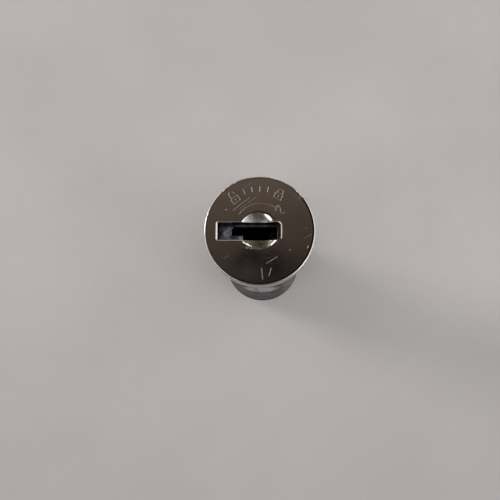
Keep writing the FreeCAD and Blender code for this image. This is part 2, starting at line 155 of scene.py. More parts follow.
def densify(outline, step):
    """Splits the sides of a closed outline into parts no longer than step."""
    out = []
    for i, point in enumerate(outline):
        p, q = np.array(point, float), np.array(outline[(i + 1) % len(outline)], float)
        parts = max(1, int(math.ceil(np.linalg.norm(q - p) / step)))
        out += [tuple(p + (q - p) * j / parts) for j in range(parts)]
    return out


def offset(outline, distance):
    """Moves a counter-clockwise closed outline outwards along its corner normals."""
    p = np.array(outline, float)
    t0, t1 = p - np.roll(p, 1, 0), np.roll(p, -1, 0) - p
    t0 /= np.linalg.norm(t0, axis=1)[:, None] + 1e-12
    t1 /= np.linalg.norm(t1, axis=1)[:, None] + 1e-12
    n0 = np.stack([t0[:, 1], -t0[:, 0]], 1)
    n1 = np.stack([t1[:, 1], -t1[:, 0]], 1)
    mean = n0 + n1
    mean /= np.linalg.norm(mean, axis=1)[:, None] + 1e-12
    lean = np.clip((mean * n0).sum(1), 0.5, 1)
    return [tuple(v) for v in p + mean * (distance / lean)[:, None]]


# ------------------------------------------------------------- field helpers
def line_dist(x, y, line):
    """Distance to an open polyline."""
    p = np.stack([x, y], -1)
    d = np.full(x.shape, 1e9)
    for a, b in zip(line, line[1:]):
        a, b = np.array(a, float), np.array(b, float)
        e = b - a
        w = p - a
        t = np.clip((w @ e) / (e @ e + 1e-18), 0, 1)
        d = np.minimum(d, np.hypot(w[..., 0] - t * e[0], w[..., 1] - t * e[1]))
    return d


def signed_dist(x, y, outline):
    """Distance to a closed outline, negative inside."""
    closed = outline + outline[:1]
    inside = np.zeros(x.shape, bool)
    for a, b in zip(closed, closed[1:]):
        crosses = (a[1] <= y) != (b[1] <= y)
        crossing_x = a[0] + (y - a[1]) / (b[1] - a[1] + 1e-18) * (b[0] - a[0])
        inside ^= crosses & (x < crossing_x)
    d = line_dist(x, y, closed)
    return np.where(inside, -d, d)


def smooth(start, end, value):
    t = np.clip((value - start) / (end - start), 0, 1)
    return t * t * (3 - 2 * t)


def fade(distance, width):
    """1 at no distance, falling straight to 0 at width."""
    return np.clip(1 - distance / width, 0, 1)


def value_noise(p, seed):
    """Smooth noise in -1..1 on an (n, 3) array, the same on every run."""
    p = np.asarray(p, float) + seed * 17.317
    cell = np.floor(p).astype(np.int64)
    f = p - cell
    f = f * f * (3 - 2 * f)
    total = 0
    for corner in np.ndindex(2, 2, 2):
        weight = np.where(corner, f, 1 - f)
        x, y, z = (cell + corner).T
        n = (x * 374761393 + y * 668265263 + z * 2147483647 + seed * 144665) & 0xFFFFFFFF
        n = ((n ^ (n >> 13)) * 1274126177) & 0xFFFFFFFF
        height = ((n ^ (n >> 16)) & 0xFFFF) / 32767.5 - 1.0
        total = total + weight[:, 0] * weight[:, 1] * weight[:, 2] * height
    return total


# -------------------------------------------------------------- mesh helpers
def ring(bm, points):
    return [bm.verts.new((p[0] * MM, p[1] * MM, p[2] * MM)) for p in points]


def flat_ring(bm, outline, z):
    return ring(bm, [(x, y, z) for x, y in outline])


def loft(bm, rings):
    """Joins each closed ring to the next with quads."""
    for a, b in zip(rings, rings[1:]):
        for i in range(len(a)):
            j = (i + 1) % len(a)
            bm.faces.new((a[i], a[j], b[j], b[i]))


def fill(bm, *loops):
    edges = []
    for loop in loops:
        for pair in zip(loop, loop[1:] + loop[:1]):
            edges.append(bm.edges.get(pair) or bm.edges.new(pair))
    bmesh.ops.triangle_fill(bm, use_beauty=True, use_dissolve=False, edges=edges)


def add_object(bm, name):
    mesh = bpy.data.meshes.new(name)
    bm.to_mesh(mesh)
    bm.free()
    ob = bpy.data.objects.new(name, mesh)
    bpy.context.scene.collection.objects.link(ob)
    return ob


def shade(mesh, angle):
    mesh.shade_smooth()
    mesh.set_sharp_from_angle(angle=math.radians(angle))


def finish_mesh(bm, name, angle=32, weld=1e-7):
    """Welds and cleans the mesh. angle in degrees, weld in metres."""
    bmesh.ops.remove_doubles(bm, verts=bm.verts, dist=weld)
    bmesh.ops.dissolve_degenerate(bm, edges=bm.edges, dist=weld)
    loose = [v for v in bm.verts if not v.link_faces]
    bmesh.ops.delete(bm, geom=loose, context="VERTS")
    bmesh.ops.recalc_face_normals(bm, faces=bm.faces)
    ob = add_object(bm, name)
    shade(ob.data, angle)
    return ob


def plate_solid(name, outline, hole, z0, z1, outer_round, hole_round, steps, side_steps=1):
    """Flat part with one hole and rounded edges. Both outlines are counter-clockwise."""
    bm = bmesh.new()
    tops, bottoms = [], []
    for shape, r, side in ((outline, outer_round, 1), (hole, hole_round, -1)):
        angles = [math.pi / 2 * k / steps for k in range(steps + 1)]
        quarter = [(-r * (1 - math.sin(a)), -r * (1 - math.cos(a))) for a in angles]
        rings = [flat_ring(bm, offset(shape, side * out), z1 + dz) for out, dz in quarter]
        for k in range(1, side_steps):
            z = z1 - r + (z0 + r - (z1 - r)) * k / side_steps
            rings.append(flat_ring(bm, shape, z))
        rings += [flat_ring(bm, offset(shape, side * out), z0 - dz)
                  for out, dz in reversed(quarter)]
        loft(bm, rings)
        tops.append(rings[0])
        bottoms.append(rings[-1])
    fill(bm, *tops)
    fill(bm, *bottoms)
    return finish_mesh(bm, name, weld=2e-7)


# -------------------------------------------------------------- node graphs
def is_socket(value):
    return isinstance(value, bpy.types.NodeSocket)


class Graph:
    """Builds the nodes of a material or a world."""

    def __init__(self, owner):
        owner.use_nodes = True
        self.tree = owner.node_tree
        self.tree.nodes.clear()

    def node(self, kind, inputs=None, **settings):
        node = self.tree.nodes.new(kind)
        for name, value in settings.items():
            setattr(node, name, value)
        for key, value in (inputs or {}).items():
            self.feed(node.inputs[key], value)
        return node

    def feed(self, socket, value):
        """Links a socket, or sets a plain value."""
        if is_socket(value):
            self.tree.links.new(value, socket)
        else:
            socket.default_value = value

    def math(self, kind, a, b=0.0, c=0.0, clamp=False):
        node = self.node("ShaderNodeMath", {0: a, 1: b, 2: c}, operation=kind, use_clamp=clamp)
        return node.outputs[0]

    def times(self, a, b):
        return self.math("MULTIPLY", a, b)

    def band(self, value, ends, to=(0.0, 1.0)):
        """Maps value from ends to another range, clamped and smooth."""
        return self.node("ShaderNodeMapRange", {
            "Value": value, "From Min": ends[0], "From Max": ends[1],
            "To Min": to[0], "To Max": to[1]}, interpolation_type="SMOOTHSTEP").outputs[0]

    def mix(self, share, a, b):
        """Colour a where share is 0, colour b where it is 1."""
        a, b = (c if is_socket(c) else (*c, 1) for c in (a, b))
        return self.node("ShaderNodeMix", {0: share, 6: a, 7: b}, data_type="RGBA").outputs[2]


class Material(Graph):
    """Principled material whose colour, roughness and normal are built up in layers."""

    def __init__(self, name, metallic=0.0):
        self.data = bpy.data.materials.new(name)
        super().__init__(self.data)
        self.shader = self.node("ShaderNodeBsdfPrincipled", {"Metallic": metallic})
        self.node("ShaderNodeOutputMaterial", {0: self.shader.outputs[0]})
        self.place = self.node("ShaderNodeTexCoord").outputs["Object"]
        self.colour = self.rough = self.normal = None

    def mix(self, share, a, b):
        colour = super().mix(share, a, b)
        if is_socket(a):
            self.feed(colour.node.inputs["A"], a)
        return colour

    def mapped(self, source=None, scale=(1, 1, 1), turn=(0, 0, 0), shift=(0, 0, 0)):
        return self.node("ShaderNodeMapping", {
            0: source or self.place, "Scale": scale, "Rotation": turn,
            "Location": shift}).outputs[0]

    def noise(self, scale, detail=3.0, rough=0.5, source=None):
        return self.node("ShaderNodeTexNoise", {
            "Vector": source or self.place, "Scale": scale, "Detail": detail,
            "Roughness": rough}).outputs["Fac"]

    def hairlines(self, table):
        """Sparse straight scratches. Rows: direction, density across, along, band, shift."""
        lines = None
        for angle, across, along, ends, shift in table:
            turned = self.mapped(turn=(0, 0, angle))
            source = self.mapped(turned, scale=(along, across, along),
                                 shift=(shift, shift * 1.7, shift * 0.3))
            streak = self.band(self.noise(scale=1.0, detail=1.0, source=source), ends)
            lines = self.math("MAXIMUM", lines, streak) if lines else streak
        return lines

    def attribute(self, name):
        return self.node("ShaderNodeAttribute", attribute_name=name).outputs["Fac"]

    def position(self):
        return self.node("ShaderNodeSeparateXYZ", {0: self.place}).outputs

    def tint(self, share, colour, strength=None):
        """Lays a colour over what is there."""
        if strength is not None:
            share = self.times(share, strength)
        self.colour = self.mix(share, self.colour, colour)

    def roughen(self, mask, strength, clamp=False):
        self.rough = self.math("ADD", self.rough, self.times(mask, strength), clamp=clamp)

    def bump(self, height, strength, distance):
        """Adds relief over the normal built so far. distance in metres."""
        inputs = {"Strength": strength, "Distance": distance, "Height": height}
        if self.normal is not None:
            inputs["Normal"] = self.normal
        self.normal = self.node("ShaderNodeBump", inputs).outputs[0]

    def coat(self, *objects):
        """Connects the layers and puts the material on the objects."""
        self.feed(self.shader.inputs["Base Color"], self.colour)
        self.feed(self.shader.inputs["Roughness"], self.rough)
        self.feed(self.shader.inputs["Normal"], self.normal)
        for ob in objects:
            ob.data.materials.clear()
            ob.data.materials.append(self.data)


def install(ob, material, rides, replaces):
    """Coats a finished piece and registers it in place of its CAD piece."""
    material.coat(ob)
    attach(ob, rides)
    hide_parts(replaces)


# ---------------------------------------------------------------- materials
# Columns: direction in radians, density across and along, noise band, pattern shift
METAL_HAIRLINES = [
    (0.6, 5200, 90, (0.60, 0.72), 0.11),
    (-0.9, 4300, 70, (0.62, 0.74), 0.37),
    (1.9, 6100, 120, (0.63, 0.74), 0.73),
]
FACE_HAIRLINES = [
    (0.55, 5200, 130, (0.66, 0.76), 0.13),
    (-0.75, 4600, 160, (0.68, 0.78), 0.41),
    (1.35, 6400, 120, (0.68, 0.78), 0.77),
    (2.6, 3900, 190, (0.69, 0.79), 1.31),
    (-0.15, 5600, 150, (0.69, 0.79), 2.07),
]


def metal(name, base, dark, rough=(0.2, 0.4), grain=1500.0, blotch=160.0, hair=0.35,
          bump=0.25, turned=0.0, metallic=1.0, speck=0.0, stain=None, stain_amount=0.0):
    """Handled metal.

    base and dark drift into each other in clouds, rough is the cloudy roughness range,
    grain and blotch are the fine and coarse noise scales, and hair, bump, turned, speck and
    stain_amount are the strengths of hairlines, grain relief, turning marks, pits and stains.
    """
    m = Material(name, metallic)
    cloud = m.noise(scale=blotch, detail=4.0, rough=0.6)
    fine = m.noise(scale=grain, rough=0.6)
    m.colour = m.mix(m.band(cloud, (0.32, 0.70)), dark, base)
    if stain is not None:
        spots = m.noise(scale=blotch * 0.45, detail=6.0, rough=0.7)
        m.tint(m.band(spots, (0.56, 0.70), to=(0.0, stain_amount)), stain)
    lines = m.hairlines(METAL_HAIRLINES)
    m.rough = m.band(cloud, (0.25, 0.75), to=rough)
    m.roughen(m.math("SUBTRACT", fine, 0.5), strength=0.12)
    m.roughen(lines, strength=hair * 0.35, clamp=True)
    m.bump(m.math("ADD", m.times(fine, 0.5), m.times(lines, -hair)),
           strength=bump, distance=0.00002)
    if turned > 0:
        along_axis = m.times(m.position()["Z"], 9000.0)
        wave = m.node("ShaderNodeTexNoise", {"W": along_axis, "Scale": 1.0, "Detail": 2.0},
                      noise_dimensions="1D")
        m.bump(wave.outputs["Fac"], strength=turned, distance=0.00003)
    if speck > 0:
        cells = m.node("ShaderNodeTexVoronoi", {"Vector": m.place, "Scale": 900.0})
        pit = m.band(cells.outputs["Distance"], (0.0, 0.16), to=(1.0, 0.0))
        keep = m.band(m.noise(scale=420.0, detail=2.0), (0.56, 0.66))
        m.bump(m.times(m.times(pit, keep), -1.0), strength=speck, distance=0.00004)
    return m


def face_material():
    """Polished nickel with hairlines; the engraved strokes show a paler, rougher cut."""
    m = Material("polished_nickel_face", metallic=1.0)
    cloud = m.noise(scale=140.0, detail=4.0, rough=0.6)
    fine = m.noise(scale=2600.0, rough=0.6)
    lines = m.hairlines(FACE_HAIRLINES)
    cut = m.band(m.attribute("cut"), (0.05, 0.45))
    wear_and_highlight, tan_and_shade, painted_shade = (m.attribute(name) for name in ("wear_and_highlight", "tan_and_shade", "painted_shade"))

    m.rough = m.band(cloud, (0.25, 0.75), to=(0.055, 0.10))
    m.roughen(m.math("SUBTRACT", fine, 0.5), strength=0.03)
    m.roughen(lines, strength=0.05)
    m.roughen(cut, strength=0.15)
    m.roughen(tan_and_shade, strength=0.16)
    m.roughen(painted_shade, strength=0.10)
    m.roughen(wear_and_highlight, strength=0.14, clamp=True)

    mottle = m.band(m.noise(scale=1700.0, detail=4.0, rough=0.65), (0.38, 0.66))
    tan = m.mix(mottle, (0.11, 0.099, 0.068), (0.31, 0.285, 0.20))
    m.colour = m.mix(m.band(cloud, (0.3, 0.7)), (0.53, 0.485, 0.44), (0.60, 0.555, 0.51))
    m.tint(lines, (0.72, 0.68, 0.62), strength=0.10)
    m.tint(cut, (0.74, 0.69, 0.60), strength=0.7)
    # paler where rubbed, and painted highlights on lit edges
    m.tint(wear_and_highlight, (0.78, 0.75, 0.70), strength=0.6)
    # dull tan, deepened as painted shade in the lower dish and the recess floors
    m.tint(tan_and_shade, tan, strength=0.9)
    # painted shade: dark lines, recess floors and the shaded side of the cap
    m.tint(painted_shade, (0.014, 0.011, 0.009), strength=0.96)

    m.bump(m.math("ADD", m.times(fine, 0.35), m.times(lines, -0.7)),
           strength=0.07, distance=0.00002)
    m.bump(m.noise(scale=70.0, detail=2.0), strength=0.04, distance=0.00010)
    return m


def barrel_material():
    m = metal("satin_nickel_barrel", (0.34, 0.332, 0.332), (0.235, 0.228, 0.230),
              rough=(0.27, 0.40), blotch=210.0, hair=0.6, bump=0.35, turned=0.22,
              speck=0.45, stain=(0.12, 0.10, 0.09), stain_amount=0.40)
    m.shader.inputs["Specular Tint"].default_value = (0.30, 0.29, 0.29, 1)
    at = m.position()
    # painted highlight on the run-out slope at the lower end of each flat
    slope = m.times(m.band(at["Z"], (-0.02230, -0.02215)), m.band(at["Z"], (-0.02110, -0.02135)))
    slope = m.times(slope, m.band(m.math("ABSOLUTE", at["Y"]), (0.00815, 0.00835)))
    m.tint(slope, (0.52, 0.51, 0.53), strength=0.50)
    # painted reflection: a paler patch on the +X -Y side, where the barrel mirrors the lit table
    patch = m.times(m.band(at["X"], (0.0046, 0.0058)), m.band(at["Y"], (-0.0046, -0.0056)))
    patch = m.times(patch, m.band(m.noise(scale=360.0, rough=0.6), (0.30, 0.52)))
    m.tint(patch, (0.66, 0.65, 0.67), strength=0.65)
    # handling smudges, pale rub marks, brownish tarnish
    tall = m.mapped(scale=(1.0, 1.0, 0.42))
    smudge = m.band(m.noise(scale=520.0, detail=4.0, rough=0.6, source=tall), (0.46, 0.64))
    m.tint(smudge, (0.085, 0.080, 0.082), strength=0.52)
    tall = m.mapped(scale=(1.0, 1.0, 0.30), shift=(0.3, 0.1, 0.2))
    rub = m.band(m.noise(scale=760.0, rough=0.55, source=tall), (0.60, 0.70))
    m.tint(rub, (0.62, 0.61, 0.62), strength=0.36)
    tarnish = m.band(m.noise(scale=120.0, rough=0.6), (0.50, 0.64))
    m.tint(tarnish, (0.22, 0.170, 0.140), strength=0.40)
    # painted shade: spotty darkening just under the head, and darker towards the lower end
    spots = m.band(m.noise(scale=900.0, rough=0.6), (0.40, 0.58))
    under = m.times(m.band(at["Z"], (-0.0006, 0.0001)), spots)
    m.tint(under, (0.06, 0.055, 0.055), strength=0.38)
    m.tint(m.band(at["Z"], (-0.0350, -0.0432)), (0.05, 0.05, 0.058), strength=0.62)
    m.roughen(smudge, strength=0.10, clamp=True)
    return m


def plate_material():
    m = metal("blue_grey_hardened_steel", (0.50, 0.52, 0.585), (0.10, 0.108, 0.13),
              rough=(0.26, 0.46), grain=2300.0, blotch=760.0, hair=0.9, bump=0.9, speck=0.4,
              stain=(0.03, 0.028, 0.03), stain_amount=0.8)
    # painted shade along the +Y edge and at both ends, where the slot's walls shade the plate
    at = m.position()
    left = m.times(m.band(at["X"], (-0.0079, -0.0083)), 0.7)
    edge = m.math("MAXIMUM", m.band(at["Y"], (0.00105, 0.00135)), left)
    edge = m.math("MAXIMUM", edge, m.band(at["X"], (0.00325, 0.00340)))
    m.tint(edge, (0.018, 0.016, 0.020), strength=0.74)
    return m


def plug_material():
    m = metal("nickelled_plug", (0.34, 0.33, 0.33), (0.17, 0.165, 0.165), rough=(0.30, 0.5),
              grain=1600.0, blotch=380.0, hair=0.6, bump=0.4, stain=(0.05, 0.05, 0.055),
              stain_amount=0.7)
    # painted shade deep inside the keyway, between the plug's head and its tail, with faint painted
    # blue-grey reflections
    at = m.position()
    deep = m.times(m.band(at["Z"], (0.0046, 0.0044)), m.band(at["Z"], (-0.030, -0.028)))
    spots = m.band(m.noise(scale=1500.0, rough=0.6), (0.52, 0.72))
    m.tint(deep, m.mix(spots, (0.010, 0.009, 0.008), (0.09, 0.10, 0.125)))
    return m


# -------------------------------------------------------- face cap: markings
SYMBOL_HALF, SYMBOL_DEPTH = 0.098, 0.018    # stroke of the padlocks and ticks


def spiral(r0, r1, a0, a1, count):
    return [polar(r0 + (r1 - r0) * k / count, a0 + (a1 - a0) * k / count)
            for k in range(count + 1)]


def padlock(r, degrees, opened):
    """Body, shackle and keyhole strokes of a padlock symbol at a polar place."""
    cx, cy = polar(r, degrees)
    cos, sin = polar(1, degrees - 90)
    low, high = -1.05, 0.12
    body = [(-0.78, low), (0.78, low), (0.78, high), (-0.78, high), (-0.78, low)]
    leg = 0.52
    lift, foot = (0.42, 0.67) if opened else (0.0, high)
    bow = [(leg * math.cos(a), 0.55 + lift + leg * math.sin(a))
           for a in map(math.radians, range(0, 181, 15))]
    shackle = [(leg, foot)] + bow + [(-leg, high)]
    return [([(cx + u * cos - v * sin, cy + u * sin + v * cos) for u, v in line],
             SYMBOL_HALF, SYMBOL_DEPTH)
            for line in (body, shackle, [(0, -0.62), (0, -0.32)])]


# Engraved strokes: line, half width, depth
STROKES = [
    (spiral(5.28, 5.50, 141, 95, 22) + spiral(5.50, 5.56, 93, 56.5, 18), 0.118, 0.020),
    ([(3.14, 3.95), (3.33, 4.47), (3.60, 5.06), (3.93, 4.81), (4.18, 4.27), (4.14, 3.76)],
     0.112, 0.018),
    ([(4.14, 3.76), (4.48, 3.38), (4.84, 3.48), (4.93, 3.74)], 0.112, 0.018),
    ([(0.42, -7.62), (0.50, -8.7), (0.66, -9.80)], 0.095, 0.015),
]
STROKES += padlock(8.35, 128, opened=True) + padlock(8.35, 62, opened=False)
STROKES += [([polar(7.95, a), polar(8.95, a)], SYMBOL_HALF, SYMBOL_DEPTH)
            for a in (112, 101, 90, 79)]
# Scratches and dents: line, half width, depth
SCRATCHES = [
    ([(-5.31, 4.05), (-3.9, 5.25), (-2.14, 6.58)], 0.13, 0.022),
    ([(-4.05, 4.35), (-2.6, 5.35), (-0.70, 6.80)], 0.08, 0.013),
    ([(2.30, -7.60), (1.85, -9.10)], 0.09, 0.014),
    ([(1.42, -6.62), (3.48, -5.36)], 0.09, 0.014),
    ([(8.90, -1.62), (10.25, -0.80)], 0.08, 0.010),
    ([(-3.1, 8.6), (-2.3, 9.25)], 0.05, 0.008),
    ([(-2.1, 9.35), (-1.75, 9.85)], 0.05, 0.008),
    ([(9.4, -3.6), (9.6, -3.2)], 0.04, 0.015),
    ([(-7.0, -5.7), (-6.2, -5.1)], 0.04, 0.006),
    ([(5.9, -3.9), (6.05, -4.0)], 0.07, 0.015),
    ([(-6.71, 4.12), (-6.66, 4.16)], 0.13, 0.03),
    ([(9.1, 0.35), (9.2, 0.42)], 0.07, 0.012),
]
# Nicks in the rim: direction and half width in degrees, depth
NICKS = [
    (40.0, 3.2, 0.17), (46.5, 2.2, 0.12), (133.0, 1.6, 0.08), (118.0, 1.3, 0.06),
    (126.0, 1.0, 0.05), (-152.0, 2.4, 0.05), (74.0, 1.2, 0.05), (8.0, 1.5, 0.04),
    (-35.0, 2.0, 0.04), (163.0, 1.4, 0.05), (-98.0, 1.8, 0.03),
]
# Opening in the face with the step at its right end: x, y, corner radius
OUTLINE = densify(rounded([
    (LIP_X, SLOT_LOW, 0.14), (3.40, SLOT_LOW, 0.15), (3.66, -1.84, 0.15), (4.28, -1.58, 0.10),
    (STEP_X, -1.42, 0.10), (STEP_X, 1.22, 0.25), (3.98, 1.70, 0.3), (3.48, 1.78, 0.15),
    (3.22, SLOT_HIGH, 0.15), (LIP_X, SLOT_HIGH, 0.14)]), 0.30)
# Shoulder that stops the dish at its lower left, clockwise
SHOULDER = [(-3.62, -2.09), (-1.78, -3.05), (-1.50, -3.85), (-3.62, -3.85)]
# Sunken pocket at the lower right of the dish
POCKET = [(1.70, -3.42), (2.34, -3.12), (3.64, -1.84), (3.30, -1.45), (1.7, -2.2)]
# Burrs below the shoulder's edge: height, centre x, y, spread in x, y
BURRS = [(0.07, -2.42, -3.55, 0.34, 0.26), (0.04, -1.9, -3.75, 0.2, 0.2)]


# ---------------------------------------------------------- face cap: relief
def turn_from(bearing, centre):
    """Signed angle from centre, in -180..180 degrees."""
    return (bearing - centre + 180) % 360 - 180


def nick_depth(bearing, r):
    depth = np.zeros(np.shape(bearing))
    for centre, width, deep in NICKS:
        u = turn_from(bearing, centre)
        jag = 1 + 0.35 * np.sin(u * 2.1 + centre)
        depth = np.maximum(depth, deep * jag * np.clip(1 - (u / width) ** 2, 0, 1))
    return depth * np.clip((r - 10.1) / 0.9, 0, 1)


def painted_rim_shade(bearing):
    """Strength of the painted dark reflection line by direction, strongest round the lower right.
    """
    u = turn_from(bearing, -40)
    gap = 1 - 0.45 * np.exp(-((u + 52) / 13.0) ** 2)
    return 0.22 + 0.73 * smooth(96, 72, np.abs(u)) * gap


def face_noise(x, y, size, seed):
    return value_noise(np.stack([x / size, y / size, np.zeros_like(x)], -1), seed)


def engraving(x, y):
    """Depth of the strokes and scratches, and the cut mask."""
    depth, cut = np.zeros_like(x), np.zeros_like(x)
    for marks, strength in ((STROKES, 1.0), (SCRATCHES, 0.8)):
        for line, half, deep in marks:
            k = fade(line_dist(x, y, line), half)
            depth = np.maximum(depth, deep * k)
            cut = np.maximum(cut, strength * k)
    return depth, cut


def face_regions(x, y):
    """Distances and shares that both the relief and the masks are made from."""
    at = SimpleNamespace(x=x, y=y, r=np.hypot(x, y), bearing=np.degrees(np.arctan2(y, x)))
    at.slot = signed_dist(x, y, OUTLINE)
    at.inside = at.slot < -1e-6
    at.shoulder = signed_dist(x, y, SHOULDER)
    at.pocket = signed_dist(x, y, POCKET)
    # the rolled lip is wide at the slot's left end and chamfered round the step
    at.west = smooth(LIP_X + 0.25, LIP_X - 0.02, x) * smooth(2.0, 1.6, np.abs(y - SLOT_MID))
    at.east = smooth(3.55, 3.75, x)
    at.lip = 0.09 + 0.21 * at.west + 0.02 * at.east
    at.dish_r = np.hypot(x - DISH_X, y - DISH_Y)
    at.dish = np.clip((DISH_R - at.dish_r) / (DISH_R - DISH_FLOOR_R), 0, 1)
    # raised ridge along the upper side of the shoulder, steep towards the dish
    near = line_dist(x, y, SHOULDER[:2])
    ridge = np.where(at.shoulder < 0, np.interp(near, [0, 0.24], [0.096, 0]),
                     np.interp(near, [0, 0.06], [0.096, 0]))
    ridge = ridge * smooth(-1.45, -1.75, x) * smooth(-3.6, -3.2, x)
    at.ridge = ridge * (at.slot > 0)
    return at


def face_depth(at, marks):
    """Depth below the face plane; marks is the engraving's own depth."""
    x, y = at.x, at.y
    crown = 0.030 * (at.r / 10.7) ** 2 + 0.004 * face_noise(x, y, 4.2, 3)
    crown = crown + nick_depth(at.bearing, at.r) * 0.5
    roll = (0.06 + 0.16 * at.west + 0.04 * at.east) * fade(at.slot, at.lip) ** 1.4
    step = np.interp(-at.slot, [0, 0.12, 0.16, 9], [0.10, 0.21, STEP_DEPTH, STEP_DEPTH])
    cuts = np.where(at.inside, step, roll)
    dish = DISH_DEPTH * at.dish * (1.45 - 0.45 * at.dish) + 0.02 * (at.dish > 0)
    dish = dish + 0.010 * face_noise(x, y, 0.5, 5) * (at.dish > 0.05)
    dish = np.where(at.shoulder <= 0, 0.0, np.minimum(dish, at.shoulder * 0.9 + 0.02))
    cuts = np.maximum(cuts, dish)
    cuts = np.maximum(cuts, np.interp(-at.pocket, [0, 0.34, 0.46, 9], [0, 0.20, 0.28, 0.30]))
    cuts = np.maximum(cuts, marks)
    burr = sum(height * np.exp(-(((x - cx) / wx) ** 2 + ((y - cy) / wy) ** 2) * 2.0)
               for height, cx, cy, wx, wy in BURRS)
    return crown + cuts - burr - at.ridge


def face_masks(at):
    """Masks: rubbed wear plus painted highlights, a dull tan film deepened by painted shade, and
    painted shade.
    """
    x, y, slot, shoulder, dish_r = at.x, at.y, at.slot, at.shoulder, at.dish_r
    in_dish = (at.dish > 0) & ~at.inside & (shoulder > 0)
    in_pocket = (at.pocket < 0) & (slot > 0)
    dish_bearing = np.degrees(np.arctan2(y - DISH_Y, x - DISH_X))

    # rubbed: the lip, the step's chamfer (a painted highlight), the dish (paler towards its left)
    wear_and_highlight = np.where(slot >= 0, fade(slot, at.lip), 0)
    wear_and_highlight = wear_and_highlight * (0.25 + 0.75 * np.maximum(at.west, at.east))
    wear_and_highlight = np.maximum(wear_and_highlight, (at.inside & (slot > -0.13) & (x > 3.7)) * 1.0)
    wear_and_highlight = np.maximum(wear_and_highlight, in_dish * (0.35 + 0.45 * smooth(0.6, -1.2, x)))

    # tan film, deepened as painted shade: lower half of the dish, floors of the step and the pocket
    tan_and_shade = np.where(in_dish, smooth(0.3, -0.6, y - DISH_Y), 0.0)
    tan_and_shade = np.maximum(tan_and_shade, np.where(at.inside & (slot <= -0.13), 1.0, 0))
    tan_and_shade = np.maximum(tan_and_shade, np.where((at.pocket < -0.35) & (slot > 0), 1.0, 0))

    # painted highlights: a bright line at the dish's lower left, a thin pale rim at its bottom, the
    # pocket walls
    left_line = smooth(0.14, 0.05, shoulder) * (shoulder >= -0.02)
    left_line = left_line * smooth(-1.15, -1.6, x) * (y < -1.9) * (dish_r <= DISH_R + 0.03)
    low_line = 0.6 * smooth(0.18, 0.06, np.minimum(shoulder, DISH_R - dish_r))
    low_line = low_line * (shoulder >= 0) * (dish_r <= DISH_R) * (y < -2.6)
    low_line = low_line * smooth(-1.6, -1.2, x)
    bright = np.maximum(left_line, low_line)
    bright = np.maximum(bright, (in_pocket & (at.pocket > -0.345)) * 1.0)
    tan_and_shade = tan_and_shade * (1 - bright)
    wear_and_highlight = np.maximum(np.maximum(wear_and_highlight, bright), np.clip(at.ridge / 0.03, 0, 1))

    # painted shade: a dark line round the upper rim of the dish, and the floor of the step
    width = 0.16 + 0.07 * smooth(100, 60, dish_bearing)
    painted_shade = smooth(width, 0.04, np.abs(dish_r - DISH_R - 0.03))
    painted_shade = painted_shade * smooth(20, 38, dish_bearing) * smooth(165, 140, dish_bearing)
    painted_shade = np.maximum(painted_shade, 0.84 * (at.inside & (slot <= -0.15)))
    # painted darker reflection over the upper left of the dish; a brighter corner stays where it
    # meets the slot
    painted_dimming = 0.32 * in_dish * smooth(84, 104, dish_bearing) * smooth(151, 139, dish_bearing)
    painted_shade = np.maximum(painted_shade, painted_dimming * smooth(1.5, 2.1, dish_r))
    # painted dark reflection in a line where the face meets its rounded edge; the edge itself is
    # paler, as wear plus painted highlight
    painted_shade = np.maximum(painted_shade, painted_rim_shade(at.bearing) * smooth(10.42, 10.54, at.r))
    wear_and_highlight = np.maximum(wear_and_highlight, np.clip((at.r - 10.72) / 0.06, 0, 1) * 0.5)
    return wear_and_highlight * (1 - painted_shade), tan_and_shade, painted_shade


# ------------------------------------------------------------ face cap: mesh
# Circles on the face: radius, point count
FACE_CIRCLES = [
    (FACE_R - 0.06, 288), (FACE_R - 0.24, 288), (FACE_R - 0.30, 288), (FACE_R - 0.36, 288),
    (FACE_R - 0.52, 144), (9.6, 96), (7.2, 64), (6.6, 64), (4.6, 48),
]
# Circles in and round the dish: share of its radius, point count
DISH_CIRCLES = [
    (1.045, 160), (1.02, 160), (1.0, 160), (0.99, 160), (0.97, 160), (0.95, 120), (0.9, 120),
    (0.84, 120), (0.78, 96), (0.70, 96), (DISH_FLOOR_R / DISH_R, 72),
]
GRID = 0.62                         # spacing of the even grid over the face


def capsule(points, half):
    """Closed outline round an open line, with blunt three-point ends."""
    last = len(points) - 1
    tangents = []
    for k in range(last + 1):
        a, b = points[max(0, k - 1)], points[min(last, k + 1)]
        tangents.append((b - a) / np.linalg.norm(b - a))
    normals = [np.array([-t[1], t[0]]) for t in tangents]
    left = [p + half * n for p, n in zip(points, normals)]
    right = [p - half * n for p, n in zip(points, normals)]

    def end(p, t, n):
        return [p + (t + n) * half * 0.7071, p + t * half, p + (t - n) * half * 0.7071]

    return (left + end(points[-1], tangents[-1], normals[-1])
            + right[::-1] + end(points[0], -tangents[0], -normals[0]))


